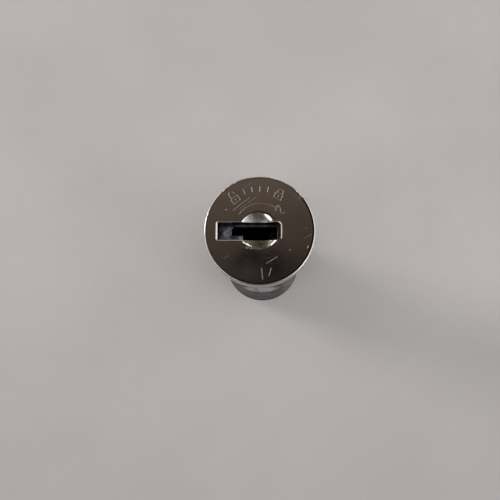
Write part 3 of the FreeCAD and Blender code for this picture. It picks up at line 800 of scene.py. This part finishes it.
def triangulate_face():
    """Triangles of the round face, with edges along every feature."""
    verts, edges = [], []

    def add(points, closed=True):
        first = len(verts)
        verts.extend(Vector((p[0], p[1])) for p in points)
        last = len(verts) - 1
        edges.extend((k, k + 1) for k in range(first, last))
        if closed:
            edges.append((last, first))

    add(circle(FACE_R, 288))
    for r, count in FACE_CIRCLES:
        add(circle(r, count, start=0.01 * r))
    for out in (0.0, 0.035, 0.07, 0.11, 0.19, 0.31, -0.12, -0.16):
        add(offset(OUTLINE, out))
    add([(SLOT_RIGHT, SLOT_LOW - 0.01), (SLOT_RIGHT, SLOT_HIGH + 0.01)], closed=False)
    for share, count in DISH_CIRCLES:
        add(circle(DISH_R * share, count, DISH_X, DISH_Y, start=0.013))
    for out in (0.0, -0.34, -0.36, -0.46):
        add(densify(offset(POCKET, out), 0.3))
    for line, half, _ in STROKES + SCRATCHES:
        points = [np.array(p, float) for p in line]
        if np.linalg.norm(points[0] - points[-1]) < 1e-6:
            loop = densify(line[:-1], 0.5)
            add(offset(loop, half))
            add(offset(loop, -half))
            add(loop)
        else:
            add(capsule(points, half))
            add(points, closed=False)
    for out in (-0.24, -0.12, 0.0, 0.06, 0.16):
        add(densify(offset(SHOULDER[::-1], out), 0.4))
    # the larger burr needs a few points of its own
    _, burr_x, burr_y, _, _ = BURRS[0]
    for r in (0.12, 0.26, 0.42):
        add(circle(r, 12, burr_x, burr_y, start=r))
    # even grid, so that the gentle crown shades smoothly
    for j in range(-18, 19):
        for i in range(-18, 19):
            x, y = (i + 0.5 * (j % 2)) * GRID, j * GRID * 0.866
            if math.hypot(x, y) < FACE_R - 0.5:
                verts.append(Vector((x, y)))
    result = geometry.delaunay_2d_cdt(verts, edges, [], 0, 1e-5)
    points = np.array([tuple(p) for p in result[0]], float)
    triangles = [tuple(f) for f in result[2]]
    x, y = np.array([points[list(t)].mean(0) for t in triangles]).T
    keep = ~((signed_dist(x, y, OUTLINE) < 0) & (x < SLOT_RIGHT)) & (np.hypot(x, y) < FACE_R)
    return points, [t for t, kept in zip(triangles, keep) if kept]


def border_loops(bm):
    """Open border loops, the one reaching farthest from the axis first."""
    border = {e for e in bm.edges if len(e.link_faces) == 1}
    loops = []
    while border:
        loop = list(border.pop().verts)
        while True:
            following = [e for e in loop[-1].link_edges if e in border]
            if not following:
                break
            border.discard(following[0])
            vert = following[0].other_vert(loop[-1])
            if vert is loop[0]:
                break
            loop.append(vert)
        loops.append(loop)
    loops.sort(key=lambda loop: -max(v.co.xy.length for v in loop))
    return loops


def cap_profile():
    """Radius, z, and rubbed wear plus painted highlight, from the face's edge down the side to the
    skirt's inner edge.
    """
    profile = []
    for k in range(1, 9):
        a = math.pi / 2 * k / 8
        profile.append((FACE_R + EDGE_R * math.sin(a), FACE_Z - EDGE_R * (1 - math.cos(a)), 0.9))
    for z in np.linspace(FACE_Z - EDGE_R - 0.25, HEAD_BOTTOM + 0.30, 7):
        profile.append((HEAD_R, float(z), 0.35))
    return profile + [
        (HEAD_R, HEAD_BOTTOM + 0.12, 0.5), (HEAD_R - 0.04, HEAD_BOTTOM + 0.04, 0.8),
        (HEAD_R - 0.12, HEAD_BOTTOM, 0.6), (HEAD_R - CAP_WALL, HEAD_BOTTOM, 0.1)]


def side_ring(bm, rim, r, z, wear_and_highlight, wear_and_highlight_layer, painted_shade_layer):
    """One ring of the cap's side, dented by the nicks, with painted shade towards -Y."""
    out = []
    for vert in rim:
        a = math.atan2(vert.co.y, vert.co.x)
        bearing = math.degrees(a)
        nick = 0.0
        if r > 10.5:
            nick = float(nick_depth(np.array(bearing), np.array(max(r, 10.6))))
            nick *= max(0.0, min(1.0, (z - (FACE_Z - 1.3)) / 1.2))
        ring_z = z
        if z > HEAD_BOTTOM + 0.2:
            ring_z = z - 0.03 - (nick * 0.5 if z > FACE_Z - EDGE_R - 0.01 else 0.0)
        ring_r = r - nick * 0.9
        new = bm.verts.new((ring_r * math.cos(a) * MM, ring_r * math.sin(a) * MM, ring_z * MM))
        new[wear_and_highlight_layer] = wear_and_highlight
        # painted shade on the side facing -Y, stronger below the rounded edge
        amount = 0.74 if z < FACE_Z - EDGE_R - 0.05 else 0.50
        share = float(smooth(64, 22, abs(turn_from(bearing, -96))))
        new[painted_shade_layer] = amount * share if z < FACE_Z - 0.02 else 0.0
        out.append(new)
    return out


def mark_cap_edges(mesh):
    """Lower angle limits on the face keep its shallow cuts crisp."""
    co = np.empty(len(mesh.vertices) * 3)
    mesh.vertices.foreach_get("co", co)
    co = co.reshape(-1, 3) / MM
    normals = np.empty(len(mesh.polygons) * 3)
    mesh.polygons.foreach_get("normal", normals)
    normals = normals.reshape(-1, 3)
    faces_of = {}
    for face in mesh.polygons:
        for key in face.edge_keys:
            faces_of.setdefault(key, []).append(face.index)
    r = np.hypot(co[:, 0], co[:, 1])
    dish_r = np.hypot(co[:, 0] - DISH_X, co[:, 1] - DISH_Y)
    flat = (r < FACE_R + 0.01) & (co[:, 2] > FACE_Z - 0.6)
    sharp = mesh.attributes["sharp_edge"].data
    for edge in mesh.edges:
        a, b = edge.vertices
        faces = faces_of.get((min(a, b), max(a, b)), ())
        if len(faces) != 2:
            continue
        cosine = float(normals[faces[0]] @ normals[faces[1]])
        angle = math.degrees(math.acos(max(-1.0, min(1.0, cosine))))
        limit = 28.0
        if flat[a] and flat[b]:
            if max(dish_r[a], dish_r[b]) < DISH_R * 0.995:
                limit = 14.0
            elif min(r[a], r[b]) <= FACE_R - 0.02:
                limit = 6.0
        sharp[edge.index].value = angle > limit


def build_cap():
    points, triangles = triangulate_face()
    x, y = points[:, 0], points[:, 1]
    at = face_regions(x, y)
    marks, cut = engraving(x, y)
    depth = face_depth(at, marks)
    masks = (cut, *face_masks(at))

    bm = bmesh.new()
    names = ("cut", "wear_and_highlight", "tan_and_shade", "painted_shade")
    for name in names:
        bm.verts.layers.float.new(name)
    layers = [bm.verts.layers.float[name] for name in names]
    wear_and_highlight_layer, painted_shade_layer = layers[1], layers[3]
    verts = [bm.verts.new((p[0] * MM, p[1] * MM, (FACE_Z - d) * MM))
             for p, d in zip(points, depth)]
    for layer, mask in zip(layers, masks):
        for vert, amount in zip(verts, mask):
            vert[layer] = float(amount)
    for triangle in triangles:
        bm.faces.new([verts[i] for i in triangle])
    loose = [v for v in bm.verts if not v.link_faces]
    bmesh.ops.delete(bm, geom=loose, context="VERTS")
    rim, slot = border_loops(bm)[:2]

    rings = [rim]
    for r, z, wear_and_highlight in cap_profile():
        rings.append(side_ring(bm, rim, r, z, wear_and_highlight, wear_and_highlight_layer, painted_shade_layer))
    # inside of the skirt, then the underside of the face out to the slot's wall
    under = FACE_Z - CAP_THICK
    angles = [math.atan2(v.co.y, v.co.x) for v in rim]
    skirt_r = HEAD_R - CAP_WALL
    inner = ring(bm, [(skirt_r * math.cos(a), skirt_r * math.sin(a), under) for a in angles])
    loft(bm, rings + [inner])
    # the walls of the opening under the face carry painted shade, except at the lip's end
    wall = []
    for vert in slot:
        low = bm.verts.new((vert.co.x, vert.co.y, under * MM))
        low[painted_shade_layer] = 0.0 if vert.co.x < (LIP_X + 0.1) * MM else 0.9
        wall.append(low)
    loft(bm, [slot, wall])
    fill(bm, inner, wall)
    ob = finish_mesh(bm, "polished_face_cap", angle=28)
    mark_cap_edges(ob.data)
    install(ob, face_material(), "plug", "face_cap")


# ------------------------------------------------------------------ housing
def drill_chambers(ob, levels):
    """Bores the driver pin chambers from the cover groove through to the plug bore."""
    bm = bmesh.new()
    for z in levels:
        turn = 2 * math.pi * 0.37 / 40
        near, far = (ring(bm, [(x, u, z + v) for u, v in circle(CHAMBER_R, 40, start=turn)])
                     for x in (-9.6, -5.8))
        loft(bm, [near, far])
        bm.faces.new(near[::-1])
        bm.faces.new(far)
    bmesh.ops.recalc_face_normals(bm, faces=bm.faces)
    cutter = add_object(bm, "chamber_cutters")
    cutter_mesh = cutter.data
    modifier = ob.modifiers.new("chambers", "BOOLEAN")
    modifier.operation = "DIFFERENCE"
    modifier.solver = "EXACT"
    modifier.object = cutter
    bpy.context.view_layer.update()
    evaluated = ob.evaluated_get(bpy.context.evaluated_depsgraph_get())
    drilled = bpy.data.meshes.new_from_object(evaluated)
    ob.modifiers.clear()
    solid = ob.data
    ob.data = drilled
    bpy.data.meshes.remove(solid)
    bpy.data.objects.remove(cutter)
    bpy.data.meshes.remove(cutter_mesh)
    drilled.name = "flatted_barrel"
    bm = bmesh.new()
    bm.from_mesh(drilled)
    bmesh.ops.dissolve_degenerate(bm, edges=bm.edges, dist=1e-7)
    bm.to_mesh(drilled)
    bm.free()
    shade(drilled, 30)


def barrel_samples(groove):
    """Angles round the barrel in degrees, and the side (-1, 1) of each doubled one."""
    base = list(np.linspace(0, 360, 288, endpoint=False))
    flat_edge = math.degrees(math.acos(FLAT / BARREL_R))
    for corner in (90 - flat_edge, 90 + flat_edge, 270 - flat_edge, 270 + flat_edge):
        base += [corner + d for d in (-2.2, -1.2, -0.6, -0.25, 0, 0.25, 0.6, 1.2, 2.2)]
    samples = [(a % 360, 0) for a in base]
    for a in groove + RIB:
        samples += [(a, -1), (a, 1)]
    samples = sorted(set((round(a, 5), side) for a, side in samples))
    # drop plain samples that sit almost on a doubled one
    doubled = [a for a, side in samples if side]
    samples = [(a, side) for a, side in samples
               if side or min(abs(a - b) for b in doubled) > 0.2]
    return np.array([a for a, _ in samples]), np.array([side for _, side in samples])


def build_housing():
    """Closed loft of rings: lower rib, barrel, flats, flange, bore."""
    half_angle = math.degrees(math.asin(GROOVE_HALF / BARREL_R))
    groove = (180 - half_angle, 180 + half_angle)
    bearing, side = barrel_samples(groove)
    angle = np.radians(bearing)
    cos, sin = np.cos(angle), np.sin(angle)

    def within(sector):
        """Inside the sector, with doubled samples falling on the right side."""
        start, end = sector
        return ((bearing > start + 1e-4) & (bearing < end - 1e-4)
                | (np.abs(bearing - start) < 1e-4) & (side > 0)
                | (np.abs(bearing - end) < 1e-4) & (side < 0))

    in_rib, in_groove = within(RIB), within(groove)
    end_z = np.where(in_rib, RIB_END, BARREL_END)

    def section(flat, grooved):
        """Radii of a cross-section; flat is 0 for round, 1 for fully flatted."""
        round_r = np.full(bearing.shape, BARREL_R)
        plane = np.minimum(FLAT / np.maximum(np.abs(sin), 1e-6), 12)
        soft = np.exp(-(round_r - 9) / FLAT_BLEND) + np.exp(-(plane - 9) / FLAT_BLEND)
        r = round_r * (1 - flat) + (-FLAT_BLEND * np.log(soft) + 9) * flat
        return np.where(in_groove, (BARREL_R - GROOVE_DEPTH) / np.abs(cos), r) if grooved else r

    rings = []

    def add(r, z, ripple=0.0):
        r = np.broadcast_to(np.asarray(r, float), bearing.shape)
        z = np.broadcast_to(np.asarray(z, float), bearing.shape)
        if ripple:
            p = np.stack([r * cos / 2.2, r * sin / 2.2, z / 3.0], -1)
            r = r + ripple * value_noise(p, 9) + ripple * 0.5 * value_noise(p * 3.1, 11)
        rings.append(np.stack([r * cos, r * sin, z], -1))

    # lower end, its edge broken wider on the rib
    add(7.45, BARREL_END)
    add(7.45, end_z)
    # Columns: inset and rise on the rib, inset and rise elsewhere
    for rib_in, rib_up, inset, rise in ((0.45, 0, 0.14, 0), (0.20, 0.12, 0.05, 0.03),
                                        (0.03, 0.42, 0, 0.14)):
        add(BARREL_R - np.where(in_rib, rib_in, inset), end_z + np.where(in_rib, rib_up, rise))
    strip_low, strip_high = COVER_LO[2] - 0.015, COVER_HI[2] + 0.015
    # Columns: first z, last z, ring count, flatness, grooved, ripple
    for z0, z1, count, flat, grooved, ripple in (
            (-42.4, -42.4, 1, 0, False, RIPPLE),
            (-41.6, strip_low - 0.4, 18, 0, False, RIPPLE),
            (strip_low, strip_low, 1, 0, False, RIPPLE),
            (strip_low, strip_low, 1, 0, True, RIPPLE),
            (strip_low + 0.4, FLAT_END - 0.35, 12, 0, True, RIPPLE),
            (FLAT_END - 0.10, FLAT_END - 0.10, 1, 0, True, RIPPLE),
            (FLAT_END, FLAT_END, 1, 0, True, 0),
            (FLAT_END + 0.06, FLAT_END + 0.06, 1, 0.08, True, 0),
            (FLAT_END + 0.80, FLAT_END + 0.80, 1, 0.93, True, 0),
            (FLAT_END + 0.92, FLAT_END + 0.92, 1, 1, True, RIPPLE),
            (FLAT_END + 1.4, strip_high - 0.4, 24, 1, True, RIPPLE),
            (strip_high, strip_high, 1, 1, True, RIPPLE),
            (strip_high, strip_high, 1, 1, False, RIPPLE),
            (strip_high + 0.4, -0.35, 8, 1, False, RIPPLE)):
        for z in np.linspace(z0, z1, count):
            add(section(flat, grooved), z, ripple)
    # fillet under the flange
    flatted = section(1, False)
    add(flatted + 0.02, -0.12)
    add(flatted + 0.14, 0.0)
    # flange, seat under the cap, plug bore and neck
    for r, z in ((FLANGE_R - 0.22, 0.0), (FLANGE_R - 0.07, 0.04), (FLANGE_R, 0.20),
                 (FLANGE_R, 0.80), (FLANGE_R, FLANGE_Z - 0.20),
                 (FLANGE_R - 0.06, FLANGE_Z - 0.05), (FLANGE_R - 0.20, FLANGE_Z),
                 (SEAT_R, FLANGE_Z), (SEAT_R, SEAT_Z), (BORE_R, SEAT_Z), (BORE_R, BORE_END),
                 (NECK_R, BORE_END), (NECK_R, NECK_END), (7.10, NECK_END), (7.10, BARREL_END)):
        add(r, z)
    bm = bmesh.new()
    loops = [ring(bm, points) for points in rings]
    loft(bm, loops + loops[:1])
    ob = finish_mesh(bm, "flatted_barrel", angle=30, weld=1e-6)
    pins = [mm_box("driver_pin_%d" % i) for i in range(1, 7)]
    drill_chambers(ob, [(low[2] + high[2]) / 2 for low, high in pins])
    install(ob, barrel_material(), "housing", "housing")


def build_cover():
    """Cover strip: curved outside flush with the barrel, four staking dimples."""
    half = (COVER_HI[1] - COVER_LO[1]) / 2
    z0, z1 = COVER_LO[2], COVER_HI[2]
    length, middle = z1 - z0, (z0 + z1) / 2
    dimples = [z0 + 1.2, middle - 6.2, middle + 6.2, z1 - 1.2]
    across = np.concatenate([[-1, -0.985, -0.96], np.linspace(-0.92, 0.92, 18),
                             [0.96, 0.985, 1]])
    along = np.concatenate([[0, 0.002, 0.005], np.linspace(0.009, 0.991, 150),
                            [0.995, 0.998, 1]])
    bm = bmesh.new()
    grid = []
    for w in along:
        row = []
        for u in across:
            y, z = u * half, z0 + w * length
            edge = min(half - abs(y), z - z0, z1 - z)
            r = BARREL_R - 0.012 - 0.05 * max(0.0, 1 - edge / 0.10) ** 2
            for dimple in dimples:
                q = math.hypot(y, z - dimple)
                r -= 0.17 * max(0.0, 1 - (q / 0.55) ** 2)
                r += 0.02 * math.exp(-((q - 0.68) / 0.10) ** 2)
            r = min(r, BARREL_R)
            x = -math.sqrt(max(r * r - y * y, 0))
            row.append(bm.verts.new((x * MM, y * MM, z * MM)))
        grid.append(row)
    for row, above in zip(grid, grid[1:]):
        for j in range(len(across) - 1):
            bm.faces.new((row[j], above[j], above[j + 1], row[j + 1]))
    border = grid[0] + [row[-1] for row in grid[1:]]
    border += grid[-1][::-1][1:] + [row[0] for row in grid[::-1][1:-1]]
    back_x = -(BARREL_R - 0.49) * MM
    back = [bm.verts.new((back_x, v.co.y, v.co.z)) for v in border]
    loft(bm, [border, back])
    fill(bm, back)
    brass = metal("dull_brass_strip", (0.60, 0.46, 0.24), (0.40, 0.29, 0.14),
                  rough=(0.30, 0.5), grain=1700.0, blotch=220.0, hair=0.5, bump=0.3,
                  stain=(0.16, 0.11, 0.06), stain_amount=0.5)
    install(finish_mesh(bm, "pin_cover_strip"), brass, "housing", "chamber_cover")


# -------------------------------------------------------------- keyway plate
def build_plate():
    """Hardened plate with the stepped key opening."""
    arc_r = 8.99                    # the -X end follows the barrel's round
    half = (PLATE_HI[1] - PLATE_LO[1]) / 2
    a = math.degrees(math.asin(half / arc_r))
    outline = [polar(arc_r, 180 - a + 2 * a * k / 24) for k in range(25)]
    outline += [(PLATE_HI[0], -half), (PLATE_HI[0], half)]
    # Key opening: x, y, corner radius
    opening = rounded([
        (-5.72, -0.47, 0.22), (-3.41, -0.47, 0.14), (-3.41, -2.05, 0.12), (1.80, -2.05, 0.1),
        (2.05, -1.70, 0.1), (3.52, -1.70, 0.12), (3.52, 1.25, 0.12), (-5.30, 1.25, 0.3),
        (-5.72, 0.80, 0.3)])
    ob = plate_solid("hardened_keyway_plate", densify(outline, 0.8), densify(opening, 0.25),
                     PLATE_LO[2], PLATE_HI[2] - 0.004, outer_round=0.08, hole_round=0.13,
                     steps=3, side_steps=2)
    install(ob, plate_material(), "plug", "keyway_plate")


# ------------------------------------------------- cam, stop washer and screw
def tail_hole(clearance):
    """Double-flatted hole that fits the plug's tail."""
    r, flat = 4.95 + clearance, 3.5 + clearance
    a = math.degrees(math.acos(flat / r))
    arcs = [polar(r, start + a + (180 - 2 * a) * k / 14)
            for start in (0, 180) for k in range(15)]
    return densify(arcs, 0.7)


def build_cam():
    hub = (CAM_HI[0] - CAM_LO[0]) / 2
    reach = CAM_HI[1]
    corner = 3

    def tip(centre_x, angles):
        return [(centre_x + x, reach - corner + y) for x, y in (polar(corner, a) for a in angles)]

    outline = [polar(hub, 180 + 180 * k / 48) for k in range(49)]
    outline += [(hub, reach - corner)] + tip(hub - corner, range(6, 91, 6))
    outline += tip(-hub + corner, range(90, 175, 6)) + [(-hub, reach - corner)]
    ob = plate_solid("straight_cam", densify(outline, 1.0), tail_hole(0.04), CAM_LO[2],
                     CAM_HI[2], outer_round=0.22, hole_round=0.10, steps=4, side_steps=3)
    zinc = metal("zinc_plated_cam", (0.62, 0.62, 0.60), (0.44, 0.44, 0.44),
                 rough=(0.24, 0.42), grain=1200.0, blotch=190.0, hair=0.7, bump=0.35,
                 speck=0.2, stain=(0.33, 0.30, 0.25), stain_amount=0.4)
    install(ob, zinc, "plug", "cam")


def build_stop_washer():
    """Round washer with one lug towards +Y."""
    r, lug_r = 7.3, LIMIT_HI[1]
    half = 14.4                     # half the lug's angle, degrees
    outline = [polar(r, 90 + half + 0.4)]
    outline += [polar(r, a) for a in np.linspace(90 + half + 3, 450 - half - 3, 110)]
    outline += [polar(r, 450 - half - 0.4), polar(r + 0.3, 90 - half)]
    outline += [polar(lug_r, 90 - half + 2 * half * k / 14) for k in range(15)]
    outline += [polar(r + 0.3, 90 + half)]
    ob = plate_solid("stop_washer", densify(outline, 0.6), tail_hole(0.03), LIMIT_LO[2],
                     LIMIT_HI[2], outer_round=0.10, hole_round=0.08, steps=3)
    zinc = metal("zinc_plated_washer", (0.58, 0.58, 0.57), (0.42, 0.42, 0.42),
                 rough=(0.26, 0.42), blotch=230.0, hair=0.5, bump=0.3,
                 stain=(0.3, 0.27, 0.22), stain_amount=0.35)
    install(ob, zinc, "plug", "limit_washer")


def screw_profile():
    """Radius and z from the recess's surround over the head to the shank tip."""
    z0, tip = SCREW_LO[2], SCREW_HI[2]
    head_r = (SCREW_HI[0] - SCREW_LO[0]) / 2
    top = z0 + 2.3                  # side of the head towards the cam
    crest, root, round_r = 2.45, 2.06, 0.9
    profile = [(head_r - 1.15, z0), (head_r - round_r, z0 + 0.01)]
    for k in range(1, 9):
        a = math.pi / 2 * k / 8
        profile.append((head_r - round_r + round_r * math.sin(a),
                        z0 + round_r - round_r * math.cos(a)))
    profile += [(head_r, top - 0.25), (head_r - 0.02, top - 0.08), (head_r - 0.10, top),
                (2.6, top), (crest, top + 0.15)]
    # rolled thread, shown as close rings
    z = top + 0.3
    while z < tip - 0.7:
        profile += [(crest, z), (crest, z + 0.12), (root, z + 0.38), (root, z + 0.46)]
        z += 0.8
    return profile + [(crest, tip - 0.6), (2.05, tip - 0.02), (1.9, tip)]


def build_screw():
    """Pan head with a cross recess; the shank runs up into the plug's tail."""
    bm = bmesh.new()
    surface = [flat_ring(bm, circle(r, 96), z) for r, z in screw_profile()]
    loft(bm, surface)
    fill(bm, surface[-1])
    half, arm = 0.42, 2.3
    corners = []
    cos, sin = 1, 0
    for _ in range(4):
        corners += [(x * cos - y * sin, x * sin + y * cos, radius) for x, y, radius in
                    ((half, half, 0.12), (half, arm, 0.1), (-half, arm, 0.1))]
        cos, sin = -sin, cos
    cross = densify(rounded(corners), 0.4)
    z0, depth = SCREW_LO[2], 1.3
    recess = [flat_ring(bm, offset(cross, 0.07), z0), flat_ring(bm, offset(cross, 0.02), z0 + 0.02)]
    for size, deep in ((1, 0.10), (0.90, depth * 0.6), (0.72, depth)):
        recess.append(flat_ring(bm, [(x * size, y * size) for x, y in cross], z0 + deep))
    loft(bm, recess)
    fill(bm, recess[-1])
    fill(bm, surface[0], recess[0])
    zinc = metal("zinc_plated_screw", (0.62, 0.62, 0.60), (0.45, 0.45, 0.44),
                 rough=(0.20, 0.38), blotch=260.0, hair=0.5, stain=(0.25, 0.22, 0.18),
                 stain_amount=0.35)
    ob = finish_mesh(bm, "cross_recess_screw", angle=30)
    install(ob, zinc, "plug", "cam_screw")


# ------------------------------------------------------- pieces kept from CAD
def coat_cad_pieces():
    plug_material().coat(NODES["plug"])
    metal("black_polymer_washer", (0.05, 0.05, 0.05), (0.03, 0.03, 0.03), rough=(0.5, 0.65),
          grain=2000.0, blotch=300.0, hair=0.1, bump=0.2,
          metallic=0.0).coat(NODES["thrust_washer"])
    metal("ground_hardened_pin", (0.40, 0.41, 0.43), (0.28, 0.29, 0.31), rough=(0.18, 0.32),
          turned=0.3).coat(NODES["drill_pins"])
    metal("phosphated_spring_steel", (0.13, 0.13, 0.135), (0.07, 0.07, 0.075),
          rough=(0.40, 0.6), hair=0.3).coat(NODES["retaining_ring"])
    metal("zinc_plated_tooth_washer", (0.58, 0.58, 0.57), (0.40, 0.40, 0.40),
          rough=(0.26, 0.42)).coat(NODES["cam_lock_washer"])
    spring = metal("stainless_spring_wire", (0.55, 0.55, 0.56), (0.42, 0.42, 0.43),
                   rough=(0.18, 0.30), hair=0.3)
    brass = metal("turned_brass_pin", (0.70, 0.55, 0.29), (0.52, 0.39, 0.19),
                  rough=(0.18, 0.32), hair=0.3, turned=0.2)
    steel = metal("turned_steel_pin", (0.56, 0.56, 0.56), (0.40, 0.40, 0.40),
                  rough=(0.18, 0.32), hair=0.3, turned=0.2)
    for kind, material in (("pin_spring", spring), ("key_pin", brass), ("driver_pin", steel)):
        material.coat(*(NODES["%s_%d" % (kind, i)] for i in range(1, 7)))


# -------------------------------------------------------------------- stage
def laminate_material():
    m = Material("pale_laminate")
    cloud = m.noise(scale=14.0, detail=4.0, rough=0.6)
    fine = m.noise(scale=420.0, rough=0.6)
    m.colour = m.mix(m.band(cloud, (0.3, 0.7)), (0.588, 0.564, 0.551), (0.650, 0.624, 0.611))
    m.tint(m.band(fine, (0.35, 0.75), to=(0.0, 0.10)), (0.54, 0.53, 0.52))
    # darker towards -Y and -X
    shadow = (0.31, 0.295, 0.29)
    m.tint(m.band(m.position()["Y"], (0.0, -0.110), to=(0.0, 0.32)), shadow)
    m.tint(m.band(m.position()["X"], (0.010, -0.070), to=(0.0, 0.10)), shadow)
    m.rough = m.band(fine, (0.3, 0.7), to=(0.42, 0.56))
    m.shader.inputs["Specular IOR Level"].default_value = 0.3
    m.bump(m.noise(scale=1500.0, detail=2.0), strength=0.05, distance=0.0001)
    return m


def build_floor():
    half, cells = 2.5, 24
    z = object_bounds()[0].z - 0.00002
    bm = bmesh.new()
    ticks = [(i / cells - 0.5) * 2 * half for i in range(cells + 1)]
    rows = [[bm.verts.new((x, y, z)) for x in ticks] for y in ticks]
    for row, above in zip(rows, rows[1:]):
        for i in range(cells):
            bm.faces.new((row[i], row[i + 1], above[i + 1], above[i]))
    ob = add_object(bm, "floor")
    laminate_material().coat(ob)


AIM = (0, 0, -0.03)                 # point that every light faces
LIGHT_DISTANCE = 1.30
# name, azimuth and elevation in degrees, width, height, power in watts, colour
LIGHTS = [
    ("key", 158, 38, 0.30, 0.30, 3.3, (1.0, 0.96, 0.97)),
    ("left_front", 221, 54, 0.56, 0.14, 0.95, (1.0, 0.94, 0.88)),
    ("left_back", 127, 21, 0.42, 0.20, 0.60, (1.0, 0.98, 0.95)),
    ("rim_back", 84, 12, 0.80, 0.32, 1.50, (1.0, 0.98, 0.95)),
    ("right_front", 332, 43, 0.30, 0.30, 0.85, (0.95, 0.97, 1.0)),
]


def build_lights():
    for name, azimuth, elevation, width, height, power, colour in LIGHTS:
        light = bpy.data.lights.new(name, "AREA")
        light.shape = "RECTANGLE"
        light.size = width
        light.size_y = height
        light.energy = power
        light.color = colour
        ob = bpy.data.objects.new(name, light)
        bpy.context.scene.collection.objects.link(ob)
        a, e = math.radians(azimuth), math.radians(elevation)
        place = Vector((LIGHT_DISTANCE * math.cos(e) * math.cos(a),
                        LIGHT_DISTANCE * math.cos(e) * math.sin(a),
                        LIGHT_DISTANCE * math.sin(e) + AIM[2]))
        ob.location = place
        ob.visible_camera = False
        ob.rotation_euler = (Vector(AIM) - place).to_track_quat("-Z", "Y").to_euler()


# Patches of the room: direction, full within and gone beyond (degrees), colour
ROOM_PATCHES = [
    ((1.0, 0.1, 0.30), 18, 68, (1.28, 1.28, 1.31)),
    ((0.0, 0.85, 0.50), 22, 46, (0.130, 0.122, 0.105)),
    ((-0.62, -0.15, 0.75), 9, 21, (0.14, 0.125, 0.13)),
    ((-0.10, -0.60, 0.77), 18, 34, (0.115, 0.100, 0.110)),
]
# Overhead ellipses, placed where the face mirrors them, in millimetres on the face:
# centre x, y, radius x, y, edge softness, colour
OVERHEAD_PATCHES = [
    (0.3, -8.2, 7.6, 4.1, 0.17, (0.017, 0.0135, 0.0155)),
    (-2.6, -9.7, 3.2, 1.7, 0.5, (0.062, 0.057, 0.052)),
]
MIRROR_HEIGHT = 126.2               # camera above the face, and its x, y, in millimetres
MIRROR_X, MIRROR_Y = 2.03, -25.43


def build_world():
    """Soft room: bright walls, dark zone overhead where the camera stands."""
    world = bpy.data.worlds.new("soft_room")
    bpy.context.scene.world = world
    g = Graph(world)
    direction = g.node("ShaderNodeTexCoord").outputs["Generated"]

    def lobe(centre, inner, outer):
        """1 within inner degrees of a direction, falling to 0 at outer."""
        dot = g.node("ShaderNodeVectorMath", {0: direction, 1: Vector(centre).normalized()},
                     operation="DOT_PRODUCT").outputs["Value"]
        return g.band(dot, (math.cos(math.radians(outer)), math.cos(math.radians(inner))))

    axes = g.node("ShaderNodeSeparateXYZ", {0: direction}).outputs
    height = g.math("MAXIMUM", axes[2], 0.2)
    face_x, face_y = (
        g.math("ADD", g.times(g.math("DIVIDE", axis, height), MIRROR_HEIGHT), start)
        for axis, start in ((axes[0], MIRROR_X), (axes[1], MIRROR_Y)))

    def ellipse(cx, cy, rx, ry, soft):
        """1 inside an ellipse of the overhead plane, falling to 0 outside it."""
        a = g.math("DIVIDE", g.math("SUBTRACT", face_x, cx), rx)
        b = g.math("DIVIDE", g.math("SUBTRACT", face_y, cy), ry)
        q = g.math("SQRT", g.math("ADD", g.times(a, a), g.times(b, b)))
        return g.band(q, (1 + soft, 1 - soft))

    room = g.mix(lobe((-0.9, 0.2, 0.30), 20, 80), (0.68, 0.68, 0.69), (1.0, 0.98, 0.96))
    for centre, inner, outer, colour in ROOM_PATCHES:
        room = g.mix(lobe(centre, inner, outer), room, colour)
    # the overhead zone brightens towards +Y and slightly towards -X
    rise = g.math("ADD", g.times(face_y, 0.042), g.math("MULTIPLY_ADD", face_x, -0.008, 0.5),
                  clamp=True)
    overhead = g.mix(rise, (0.046, 0.033, 0.031), (0.142, 0.117, 0.096))
    for *shape, colour in OVERHEAD_PATCHES:
        overhead = g.mix(ellipse(*shape), overhead, colour)
    room = g.mix(lobe((0.0, 0.20, 1.0), 17, 26), room, overhead)
    background = g.node("ShaderNodeBackground", {0: room, 1: 1.0})
    g.node("ShaderNodeOutputWorld", {0: background.outputs[0]})


def build_camera():
    """Camera above the face, a little towards -Y."""
    lens = bpy.data.cameras.new("camera")
    camera = bpy.data.objects.new("camera", lens)
    bpy.context.scene.collection.objects.link(camera)
    lens.sensor_width = 36.0
    lens.lens = 46.8
    lens.shift_x = -0.004
    lens.clip_start = 0.002
    lens.clip_end = 20.0
    place = Vector((0.0020314, -0.0254288, 0.1310857))
    right = (0.999623, 0.005424, -0.026909)
    up = (-0.000840, 0.985874, 0.167486)
    back = (0.027437, -0.167401, 0.985507)
    turn = Matrix((right, up, back)).transposed()
    camera.matrix_world = Matrix.Translation(place) @ turn.to_4x4()
    bpy.context.scene.camera = camera
    bpy.context.scene.view_settings.view_transform = "Standard"


build_cap()
build_housing()
build_cover()
build_plate()
build_cam()
build_stop_washer()
build_screw()
coat_cad_pieces()
build_floor()
build_lights()
build_world()
build_camera()
